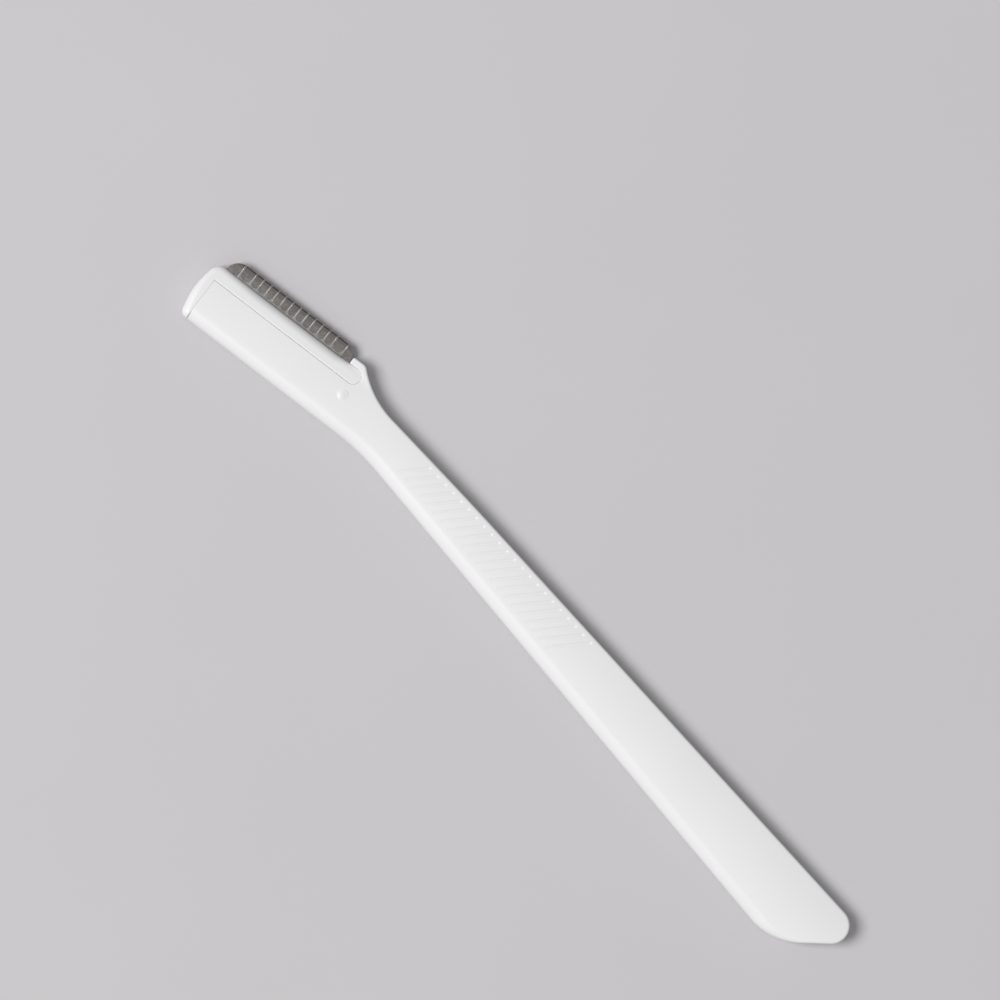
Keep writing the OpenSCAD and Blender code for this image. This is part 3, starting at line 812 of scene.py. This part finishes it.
def carrier_outlines(p, s, head):
    """Outer and inner outline of the carrier, from the bead's end to the cap's."""
    cap_shares, tight_share = (0.72, 1.17, 0.66), 1.06
    cap_front_u, cap_peak_u, cap_back_u = (p.plate_end + s.cap_length * part for part in cap_shares)
    pocket_radius, pocket_low_y = p.bead_radius + p.pocket_fill, p.bead_low_y - p.pocket_fill
    start_u, full_u = p.bead_end_u - pocket_radius, p.hook_end_u + s.end_ramp
    top_y, cap_u = p.bead_top_y + p.fill, p.cap_u - p.cap_fill
    outer = Outline([
        [start_u, p.bead_mid_y, 0, s.end_rounding],
        [start_u, pocket_low_y, pocket_radius, s.end_rounding],
        [p.hook_end_u - s.end_ramp / 2, pocket_low_y, 0, s.end_rounding],
        [full_u, p.bead_low_y, 0, s.bead_rounding],
        [p.blade_end - s.corner_run, p.bead_low_y, 0, s.bead_rounding],
        [p.blade_end, p.bead_low_y, 0, s.corner_rounding],
        [cap_front_u, p.bead_low_y, s.corner_radius, s.corner_rounding],
        [cap_peak_u, p.middle_y, s.cap_bulge, s.cap_rounding],
        [cap_back_u, p.back_y, s.cap_rounding * tight_share, s.cap_rounding],
        [cap_u, p.back_y, 0, s.cap_rounding],
    ])
    inner = Outline([
        [start_u, p.bead_mid_y, 0, s.end_rounding],
        [start_u, top_y, p.bead_radius + p.fill, s.seam_rounding],
        [cap_u, top_y, 0, s.seam_rounding],
        [cap_u, top_y + head.cap_edge_run, 0, head.cap_edge],
        [cap_u, p.back_y, 0, head.cap_edge],
    ])
    return outer, inner


def carrier_lines(p, s, outer, inner):
    """Ends of the carrier's station lines on the outer and the inner outline, and how many lie along the
    bead. The next ones fan out round its outer corner, and the last ones lie along the cap."""
    corner, back_corner = outer.arcs[1], outer.arcs[3]
    corner_u, cap_u = outer.places[corner.first, 0], inner.places[-1, 0]
    top_y = inner.places[inner.arcs[0].last, 1]

    # Along the bead
    end_u = p.bead_end_u - (p.bead_radius + p.pocket_fill) * np.cos(np.linspace(0, math.pi / 2, 17))
    even_u = np.linspace(p.bead_end_u, corner_u, 60)
    along_u = np.concatenate([end_u, np.unique([*even_u, p.blade_start, p.blade_end])[1:]])
    bead_out = outer.places[: corner.first + 1]
    bead_in = np.vstack([inner.places[: inner.arcs[0].last + 1], [cap_u, top_y]])
    out_line, in_line = (
        np.stack([along_u, np.interp(along_u, *places.T)], -1) for places in (bead_out, bead_in)
    )

    # Round the corner and along the cap
    level = outer.places[corner.first : back_corner.last + 1]
    level_length = outer.lengths[corner.first : back_corner.last + 1]
    level_at = np.interp(top_y, level[:, 1], level_length)
    fan = np.linspace(0, 1, 19)[1:]
    fan_out = outer.at(level_length[0] + (level_at - level_length[0]) * fan)
    fan_u = np.minimum(corner_u + (cap_u - corner_u) * 4 * fan, cap_u)
    cap_y = np.concatenate([
        np.linspace(top_y, p.back_y - s.cap_rounding, 16)[1:],
        p.back_y - s.cap_rounding * arc_shares(12)[-2::-1],
    ])
    cap_out = np.stack([np.interp(cap_y, level[:, 1], level[:, 0]), cap_y], -1)
    cap_out[-1] = outer.places[back_corner.last]
    outside = np.concatenate([out_line, fan_out, cap_out])
    fan_in = np.stack([fan_u, np.full(len(fan), top_y)], -1)
    inside = np.concatenate([in_line, fan_in, np.stack([np.full(len(cap_y), cap_u), cap_y], -1)])
    return outside, inside, len(along_u)


def carrier_shell(scene):
    """Upper half of the carrier, in the head's frame: an upper face over station lines from the seam side
    to the outer side, whose heights come from edge_drop and the crown, and walls. The lower side is flat
    at mid height, with a recess for the blade and the guard."""
    p, s, head = head_places(scene), scene.razor_carrier, scene.razor_head
    outer, inner = carrier_outlines(p, s, head)
    outside, inside, along = carrier_lines(p, s, outer, inner)

    def crown_fall(flat):
        """Fall of the face without its edge roundings."""
        beside_hook = np.clip((p.bead_mid_y - flat[:, 1]) / p.bead_radius, 0, 1) ** 2
        ramp = 1 - np.clip((flat[:, 0] - p.hook_end_u) / s.end_ramp, 0, 1)
        return head_crown(p, flat[:, 1]) + s.end_fall * beside_hook * ramp

    # The outer border moves in where its rounding would pass the level that the side ends at
    recess_z = p.mid_z + p.half_stack
    first, last = (int(abs(outside[:along, 0] - u).argmin()) for u in (p.blade_start, p.blade_end))
    order = np.arange(len(outside))
    low_z = np.where((order >= first) & (order <= last), recess_z, p.mid_z)
    rounding = outer.nearest(outside)[1]
    room = np.minimum(p.top_z - crown_fall(outside) - low_z, rounding)
    shift = rounding - np.sqrt(rounding**2 - (rounding - room) ** 2)
    inward = inside - outside
    width = np.maximum(np.linalg.norm(inward, axis=1), MERGE_DISTANCE)
    outside = outside + inward * (shift / width)[:, None]

    seam_shares = s.seam_rounding / s.bead_width * np.array([0, 0.1, 0.3, 0.6, 1, 1.5, 2.2])
    bead_shares = 1 - s.bead_rounding / s.bead_width * arc_shares(13)[::-1]
    middle_shares = np.linspace(seam_shares[-1], bead_shares[0], 5)[1:-1]
    places = station_grid(inside, outside, np.concatenate([seam_shares, middle_shares, bead_shares]))
    flat = places.reshape(-1, 2)
    fall = crown_fall(flat) + edge_drop(flat, (outer, inner))
    top = (p.top_z - fall).reshape(places.shape[:2])

    shell = Shell()
    shell.grid(raised(places, top))
    out_z = np.minimum(top[:, -1], recess_z)
    shell.grid(wall(outside, [top[:, -1], out_z]))
    for part in (np.s_[: first + 1], np.s_[last:]):
        shell.grid(wall(outside[part], [out_z[part], p.mid_z]))
    inner_wall = wall(inside, [top[:, 0], recess_z, p.mid_z])
    shell.grid(inner_wall)
    low_out, high_out = raised(outside, p.mid_z), raised(outside, out_z)
    notch = np.array([[p.blade_start, p.held_y, p.mid_z], [p.blade_end, p.held_y, p.mid_z]])
    roof = notch + [0, 0, p.half_stack]
    shell.face(low_out[: first + 1], notch, low_out[last:], inner_wall[::-1, -1])
    shell.face(high_out[first : last + 1], roof[::-1])
    shell.face(low_out[first], high_out[first], roof[0], notch[0])
    shell.face(notch[0], roof[0], roof[1], notch[1])
    shell.face(notch[1], roof[1], high_out[last], low_out[last])
    shell.face(raised(places[-1], top[-1]), high_out[-1], low_out[-1], inner_wall[-1, :0:-1])

    neck_z, key_z = (p.mid_z + thickness / 2 - s.slide_gap for thickness in (s.tongue, s.key))
    key_y = p.seam_y + s.tongue_neck + s.slide_gap
    key_end = key_y + s.key_depth - 2 * s.slide_gap
    tongue = [
        (p.bead_mid_y, p.mid_z), (p.bead_mid_y, neck_z), (key_y, neck_z),
        (key_y, key_z), (key_end, key_z), (key_end, p.mid_z),
    ]
    shell.prism(tongue, s.tongue_start, p.cap_u + s.cap_length / 2)
    return shell


def blade_shell(scene):
    """The blade, in the head's frame: lines of constant u from the cutting edge, which turns in at both
    rounded corners, to the hidden back edge. The thickness grows evenly over the honed strip, and again
    evenly but more slowly over the bevel."""
    p, s = head_places(scene), scene.razor_blade
    turn_in = 1 - np.cos(np.linspace(0, math.pi / 2, 15))
    heel = p.blade_start + s.heel_corner * turn_in
    tip = p.blade_end - s.tip_corner * turn_in[::-1]
    u = np.concatenate([heel, np.linspace(heel[-1], tip[0], 60)[1:-1], tip])
    from_heel = np.clip(heel[-1] - u, 0, s.heel_corner)
    from_tip = np.clip(u - tip[0], 0, s.tip_corner)
    front_y = (
        p.edge_y
        + s.heel_corner - np.sqrt(s.heel_corner**2 - from_heel**2)
        + s.tip_corner - np.sqrt(s.tip_corner**2 - from_tip**2)
    )
    lines = np.concatenate([
        p.edge_y + s.hone * np.array([0, 0.5, 1]),
        p.edge_y + s.bevel * np.array([0.4, 0.6, 0.8, 1]),
        np.linspace(p.edge_y + s.bevel, p.held_y, 9)[1:],
    ])
    y = np.maximum(front_y[:, None], lines)
    thickness = np.interp(y - p.edge_y, [0, s.hone, s.bevel], [s.land, s.hone_thickness, s.thickness])
    places = np.stack([np.broadcast_to(u[:, None], y.shape), y], -1)
    top, under = (raised(places, p.mid_z + side * thickness / 2) for side in (1, -1))
    shell = Shell()
    shell.grid(top)
    shell.grid(under)
    for edge in (np.s_[:, 0], np.s_[:, -1], np.s_[0], np.s_[-1]):
        shell.grid(np.stack([top[edge], under[edge]]))
    return shell


def rib_places(scene):
    """Places of the guard's ribs along the head: one spacing, and a wider window at each end."""
    p, s = head_places(scene), scene.razor_blade
    room = s.length - s.heel_margin - s.tip_margin - 2 * s.end_pitch
    gaps = math.floor(room / s.rib_pitch + COUNT_SLACK)
    first = p.blade_start + s.heel_margin + (room - gaps * s.rib_pitch) / 2
    inner = first + s.end_pitch + s.rib_pitch * np.arange(gaps + 1)
    return np.concatenate([[first], inner, [inner[-1] + s.end_pitch]])


def guard_shell(scene):
    """The guard, in the head's frame: each rib is a strip carried from the spine over the cutting edge and
    back underneath. Its half width widens into the spine along a quarter circle, so two neighbours leave
    a window with a round top. The sheet falls off beside the windows by the burr, which grows with the
    square of how near the window is."""
    p, s = head_places(scene), scene.razor_blade
    ribs = rib_places(scene)
    spine_y = p.bead_low_y - s.spine
    fold = s.thickness / 2 + s.lift
    outer_fold = fold + s.sheet
    nose_y = p.edge_y - s.edge_gap + fold
    radii = [(pitch - s.rib) / 2 for pitch in (s.rib_pitch, s.end_pitch)]
    arch = np.unique(spine_y - np.outer(radii, 1 - np.cos(np.linspace(0, math.pi / 2, 12))))
    above = spine_y + s.burr_width * np.array([0.2, 0.5, 1])
    leg = np.concatenate([
        [nose_y], np.linspace(nose_y, arch[0], 6)[1:-1], arch, above, [p.bead_low_y, p.held_y]
    ])[::-1]
    bend = np.linspace(0, math.pi, 13)[1:-1]
    margins = s.burr_width * np.array([0, 0.2, 0.5, 1])

    def path(radius):
        """The strip's way as columns of y and z: leg above, half circle round the edge, leg below."""
        y = np.concatenate([leg, nose_y - radius * np.sin(bend), leg[::-1]])
        z = np.concatenate([np.full(len(leg), radius), radius * np.cos(bend), np.full(len(leg), -radius)])
        return y[:, None], z[:, None]

    (outer_y, outer_z), (inner_y, inner_z) = path(outer_fold), path(fold)
    leg_y = np.concatenate([leg, np.full(len(bend), nose_y), leg[::-1]])
    narrow = leg_y < spine_y + MERGE_DISTANCE

    def half_strip(pitch):
        """Offsets from a rib's middle towards a neighbour at that pitch, or towards none, and the burr."""
        if pitch is None:
            radius, down, side = s.rib, np.zeros(len(leg_y)), np.full(len(leg_y), s.rib / 2)
        else:
            radius = (pitch - s.rib) / 2
            down = np.clip(leg_y - (spine_y - radius), 0, None)
            curve = pitch / 2 - np.sqrt(radius**2 - np.minimum(down, radius) ** 2)
            side = np.where(leg_y > spine_y - MERGE_DISTANCE, pitch / 2, curve)
        off = np.clip(side[:, None] - margins, 0, None)
        from_window = np.hypot(s.rib / 2 + radius - off, down[:, None]) - radius
        return off, s.burr * np.clip(1 - from_window / s.burr_width, 0, 1) ** 2

    shell, gaps, middle = Shell(), [None, *np.diff(ribs), None], np.zeros((len(leg_y), 1))
    past = np.minimum(outer_y - nose_y, 0)
    for rib_u, left, right in zip(ribs, gaps[:-1], gaps[1:]):
        (left_off, left_burr), (right_off, right_burr) = half_strip(left), half_strip(right)
        u = rib_u + np.concatenate([-left_off, middle, right_off[:, ::-1]], 1)
        scale = 1 - np.concatenate([left_burr, middle, right_burr[:, ::-1]], 1) / outer_fold
        outer = np.stack([u, outer_y + past * (scale - 1), p.mid_z + outer_z * scale], -1)
        inner = np.stack(np.broadcast_arrays(u, inner_y, p.mid_z + inner_z), -1)
        shell.grid(outer)
        shell.grid(inner)
        for edge, pitch in ((0, left), (-1, right)):
            strip = np.stack([outer[:, edge], inner[:, edge]], 1)
            shell.grid(strip if pitch is None else strip[narrow])
        for end in (0, -1):
            shell.grid(np.stack([outer[end], inner[end]]))
    return shell


def feed(socket, value):
    """Set a socket to a value, or link it to the socket given."""
    if isinstance(value, bpy.types.NodeSocket):
        socket.id_data.links.new(value, socket)
    else:
        socket.default_value = value


def set_up(node, **settings):
    """Set a node's own settings and feed its inputs. An input is named by its words, joined by _, or by
    an i and its number."""
    for key, value in settings.items():
        if hasattr(node, key):
            setattr(node, key, value)
        elif key[0] == "i" and key[1:].isdigit():
            feed(node.inputs[int(key[1:])], value)
        else:
            feed(node.inputs[key.replace("_", " ")], value)


def new_material(name):
    """A material with its shader, a helper that adds nodes to it, and the place on the piece."""
    material = bpy.data.materials.new(name)
    material.use_nodes = True
    tree = material.node_tree

    def add(kind, **settings):
        """A new node of a kind, set up."""
        node = tree.nodes.new("ShaderNode" + kind)
        set_up(node, **settings)
        return node

    return material, tree.nodes["Principled BSDF"], add, add("TexCoord").outputs["Object"]


def ranged(add, value, low, high, from_low=0.0, from_high=1.0):
    """A value moved from one range into another."""
    return add(
        "MapRange", Value=value, From_Min=from_low, From_Max=from_high, To_Min=low, To_Max=high
    ).outputs[0]


def noise(add, place, scale, detail=2.0, roughness=0.5):
    """Noise at a number of cells per metre."""
    return add("TexNoise", Vector=place, Scale=scale, Detail=detail, Roughness=roughness).outputs[0]


def streaks(add, place, scales, detail, roughness=0.5):
    """Noise at its own number of cells per metre in each direction."""
    return noise(add, add("Mapping", Vector=place, Scale=scales).outputs[0], 1, detail, roughness)


def mixed(add, factor, a, b):
    """Colour a to colour b by a factor."""
    return add("Mix", data_type="RGBA", i0=factor, i6=a, i7=b).outputs[2]


def calculated(add, operation, *values):
    """The result of a math operation on one to three values."""
    return add("Math", operation=operation, **{f"i{i}": value for i, value in enumerate(values)}).outputs[0]


def bumped(add, height, strength, millimetres, **normal):
    """The normal of a surface with a bump of some height, over another normal if one is given."""
    bump = add("Bump", Height=height, Strength=strength, Distance=millimetres * MM, **normal)
    return bump.outputs[0]


def shade(rgb, amount):
    """A colour made lighter or darker."""
    return (*(min(1, c * amount) for c in rgb), 1)


def plastic_material(name, rgb, ring=None):
    """Satin white moulding: a faint mould grain and slow waviness in the bump, cloudy roughness with a few
    rubbed streaks, and a very slight unevenness of tone. A ring mark may be given by its centre, its
    radius and half the width of its line."""
    material, shader, add, place = new_material(name)
    cloud = noise(add, place, scale=90, detail=3)
    grain = noise(add, place, scale=5200, roughness=0.6)
    waviness = noise(add, place, scale=260, detail=1)
    rubbed = ranged(add, streaks(add, place, (60, 1500, 1500), detail=2), 0, 1, 0.62, 0.8)
    tone = mixed(add, cloud, shade(rgb, 0.985), shade(rgb, 1.012))
    gloss = calculated(add, "MULTIPLY_ADD", rubbed, -0.05, ranged(add, cloud, 0.38, 0.46))
    normal = bumped(add, waviness, 0.25, 0.03, Normal=bumped(add, grain, 0.12, 0.02))
    if ring:
        centre, radius, width = ring
        gap = add("VectorMath", operation="DISTANCE", i0=place, i1=centre).outputs["Value"]
        away = calculated(add, "ABSOLUTE", calculated(add, "SUBTRACT", gap, radius))
        normal = bumped(add, ranged(add, away, 1, 0, 0, width), 0.35, 0.02, Normal=normal)
    set_up(shader, Base_Color=tone, Roughness=gloss, Normal=normal, IOR=1.49, Specular_IOR_Level=0.5)
    return material


def steel_material(name, rgb, roughness, turn, ground=None, painted_shade_bands=()):
    """Rolled steel sheet: fine streaks along the head in tone, roughness and bump, and small spots. The
    ground band, given by the y at which its honed strip and the band itself end, has its streaks square to
    the edge and a darker tone, which is darkest on the honed strip: that darker tone is painted shade, as
    the bevel and the honed strip turn from the light. The painted shade bands are darker tone painted where
    shade falls, each given by the y of no shade, the y of full shade and the shade's strength."""
    material, shader, add, place = new_material(name)
    local = add("Mapping", Vector=place, Rotation=(0, 0, -turn)).outputs[0]
    y = add("SeparateXYZ", Vector=local).outputs[1]
    pattern = streaks(add, local, (220, 9000, 9000), detail=3, roughness=0.6)
    smears = ranged(add, noise(add, local, 1100, 3, 0.6), 0, 1, 0.34, 0.66)
    spots = ranged(add, noise(add, local, 5200, 2, 0.6), 0, 1, 0.36, 0.64)
    tone = mixed(add, smears, shade(rgb, 0.78), shade(rgb, 1.2))
    dark, light = mixed(add, 0.3, tone, shade(rgb, 0.4)), mixed(add, 0.14, tone, shade(rgb, 1.8))
    tone = mixed(add, spots, dark, light)
    # Painted shade: each band mixes the tone towards a much darker copy of the colour, standing in for
    # shade
    for none_y, full_y, strength in painted_shade_bands:
        tone = mixed(add, ranged(add, y, 0, strength, none_y, full_y), tone, shade(rgb, 0.2))
    if ground:
        hone_y, band_y = ground
        fade = 0.02 * MM
        grind = streaks(add, local, (11000, 500, 500), detail=2, roughness=0.6)
        band = ranged(add, y, 1, 0, band_y - fade, band_y + fade)
        honed = ranged(add, y, 1, 0, hone_y - fade, hone_y + 1.5 * fade)
        pattern = mixed(add, band, pattern, grind)
        # The band keeps its real cross streaks; its darker tone is painted shade, as the bevel turns from
        # the light
        tone = mixed(add, band, tone, mixed(add, grind, shade(rgb, 0.72), shade(rgb, 0.95)))
        # Painted shade: the honed strip is darkened most, as the edge turns from the light
        tone = mixed(add, honed, tone, mixed(add, grind, shade(rgb, 0.2), shade(rgb, 0.34)))
    gloss = ranged(add, pattern, roughness - 0.07, roughness + 0.09)
    normal = bumped(add, pattern, 0.3, 0.004)
    set_up(shader, Base_Color=tone, Roughness=gloss, Normal=normal, Metallic=1)
    return material


def floor_material(rgb):
    """Matt pale board with a very faint mottle."""
    material, shader, add, place = new_material("pale_floor")
    tone = mixed(add, noise(add, place, scale=25, detail=3), shade(rgb, 0.985), shade(rgb, 1.015))
    normal = bumped(add, noise(add, place, scale=2500), 0.05, 0.05)
    set_up(shader, Base_Color=tone, Normal=normal, Roughness=0.8, Specular_IOR_Level=0.2)
    return material


class RAZOR_OT_handle(bpy.types.Operator):
    """Build the handle with its grip, hook, head plate and stud"""

    bl_idname = "razor.handle"
    bl_label = "Handle"

    def execute(self, context):
        scene = context.scene
        s = scene.razor_handle
        shell, plan = handle_shell(scene)
        marks_shell(shell, plan)
        ring = ((-s.ring_place, 0, s.thickness), s.ring_radius, s.ring_width)
        material = plastic_material("white_handle_plastic", scene.razor_finish.plastic, ring)
        piece = shell.make("handle_moulding", material)
        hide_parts("handle")
        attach(piece, "handle")
        return {"FINISHED"}


class RAZOR_OT_carrier(bpy.types.Operator):
    """Build the two halves of the blade carrier"""

    bl_idname = "razor.carrier"
    bl_label = "Carrier"

    def execute(self, context):
        scene = context.scene
        turn, thickness = scene.razor_head.turn, scene.razor_handle.thickness
        material = plastic_material("white_carrier_plastic", scene.razor_finish.plastic)
        shell = carrier_shell(scene)
        for name, flip_z in (("carrier_upper", None), ("carrier_lower", thickness)):
            piece = shell.make(name + "_shell", material, turn, flip_z)
            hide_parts(name)
            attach(piece, "cartridge")
        return {"FINISHED"}


class RAZOR_OT_blade(bpy.types.Operator):
    """Build the blade with its ground bevel"""

    bl_idname = "razor.blade"
    bl_label = "Blade"

    def execute(self, context):
        scene = context.scene
        p, s, finish = head_places(scene), scene.razor_blade, scene.razor_finish
        turn, ground = scene.razor_head.turn, (p.edge_y + s.hone, p.edge_y + s.bevel)
        material = steel_material("ground_blade_steel", finish.blade, finish.blade_roughness, turn, ground)
        piece = blade_shell(scene).make("blade_sheet", material, turn)
        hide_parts("blade")
        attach(piece, "cartridge")
        return {"FINISHED"}


class RAZOR_OT_guard(bpy.types.Operator):
    """Build the folded guard with its ribs"""

    bl_idname = "razor.guard"
    bl_label = "Guard"

    def execute(self, context):
        scene = context.scene
        p, s, finish = head_places(scene), scene.razor_blade, scene.razor_finish
        # Painted shade: a darker band on the guard along the bead's foot, where the bead shades the spine
        bead_foot_shade = (p.bead_low_y - s.spine / 2, p.bead_low_y - s.spine / 10, finish.bead_shade)
        # Painted shade: a darker band on the guard's fold towards the edge, where the fold turns from the
        # light
        fold_edge_shade = (p.edge_y + s.fold_shade_start, p.edge_y + s.fold_shade_full, finish.fold_shade)
        turn, painted_shade_bands = scene.razor_head.turn, (bead_foot_shade, fold_edge_shade)
        material = steel_material(
            "thin_guard_steel", finish.guard, finish.guard_roughness, turn, painted_shade_bands=painted_shade_bands
        )
        piece = guard_shell(scene).make("guard_comb", material, turn)
        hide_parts("guard")
        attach(piece, "cartridge")
        return {"FINISHED"}


class RAZOR_OT_stage(bpy.types.Operator):
    """Set up the floor, the lamp, the even light and the camera"""

    bl_idname = "razor.stage"
    bl_label = "Stage"

    def execute(self, context):
        scene = context.scene
        s = scene.razor_stage
        bpy.ops.mesh.primitive_plane_add(size=s.floor, location=(0, 0, 0))
        floor = context.object
        floor.name = "floor"
        floor.data.materials.append(floor_material(scene.razor_finish.floor))

        aim = Vector((s.aim_x, s.aim_y, scene.razor_handle.thickness / 2))
        back, plan_up = direction(math.pi / 2 - s.tilt, s.lean), direction(0, s.up)
        up = (plan_up - back * plan_up.dot(back)).normalized()
        axes = Matrix((up.cross(back), up, back)).transposed().to_4x4()
        camera = new_object("camera", bpy.data.cameras.new("camera"))
        camera.data.lens, camera.data.sensor_width = s.lens, s.sensor
        camera.data.clip_start, camera.data.clip_end = s.near, s.far
        camera.matrix_world = Matrix.Translation(aim + back * s.distance) @ axes
        scene.camera = camera

        key = new_object("key_lamp", bpy.data.lights.new("key_lamp", "AREA"))
        key.data.energy, key.data.size = s.key_power, s.key_width
        way = direction(s.key_height, s.key_turn)
        key.location = aim + way * s.key_distance
        key.rotation_euler = way.to_track_quat("Z", "Y").to_euler()

        world = bpy.data.worlds.new("even_light")
        world.use_nodes = True
        set_up(world.node_tree.nodes["Background"], Color=(1, 1, 1, 1), Strength=s.sky)
        scene.world = world
        scene.view_settings.view_transform = "Standard"
        return {"FINISHED"}


class RAZOR_PT_panel(bpy.types.Panel):
    """Sizes, finishes and build steps of the razor"""

    bl_idname = "RAZOR_PT_panel"
    bl_label = "Razor"
    bl_space_type = "VIEW_3D"
    bl_region_type = "UI"
    bl_category = "Razor"

    def draw(self, context):
        for name in GROUPS:
            box, group = self.layout.box(), getattr(context.scene, name)
            box.label(text=name.split("_")[1].capitalize())
            for key in group.__annotations__:
                box.prop(group, key)
        for operator in STEPS:
            self.layout.operator(operator.bl_idname)


GROUPS = {
    "razor_handle": HandleSizes,
    "razor_grip": GripSizes,
    "razor_head": HeadSizes,
    "razor_carrier": CarrierSizes,
    "razor_blade": BladeSizes,
    "razor_finish": Finishes,
    "razor_stage": StageSizes,
}
STEPS = (RAZOR_OT_stage, RAZOR_OT_handle, RAZOR_OT_carrier, RAZOR_OT_blade, RAZOR_OT_guard)


def register():
    """Adds the classes, and puts the groups of values on the scene."""
    for cls in (*GROUPS.values(), *STEPS, RAZOR_PT_panel):
        bpy.utils.register_class(cls)
    for name, group in GROUPS.items():
        setattr(bpy.types.Scene, name, bpy.props.PointerProperty(type=group))


def unregister():
    """Takes the groups of values and the classes away again."""
    for name in GROUPS:
        delattr(bpy.types.Scene, name)
    for cls in (RAZOR_PT_panel, *reversed(STEPS), *reversed(GROUPS.values())):
        bpy.utils.unregister_class(cls)


def main():
    """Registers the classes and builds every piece."""
    register()
    bpy.ops.razor.stage()
    bpy.ops.razor.handle()
    bpy.ops.razor.carrier()
    bpy.ops.razor.blade()
    bpy.ops.razor.guard()


if __name__ == "__main__":
    main()
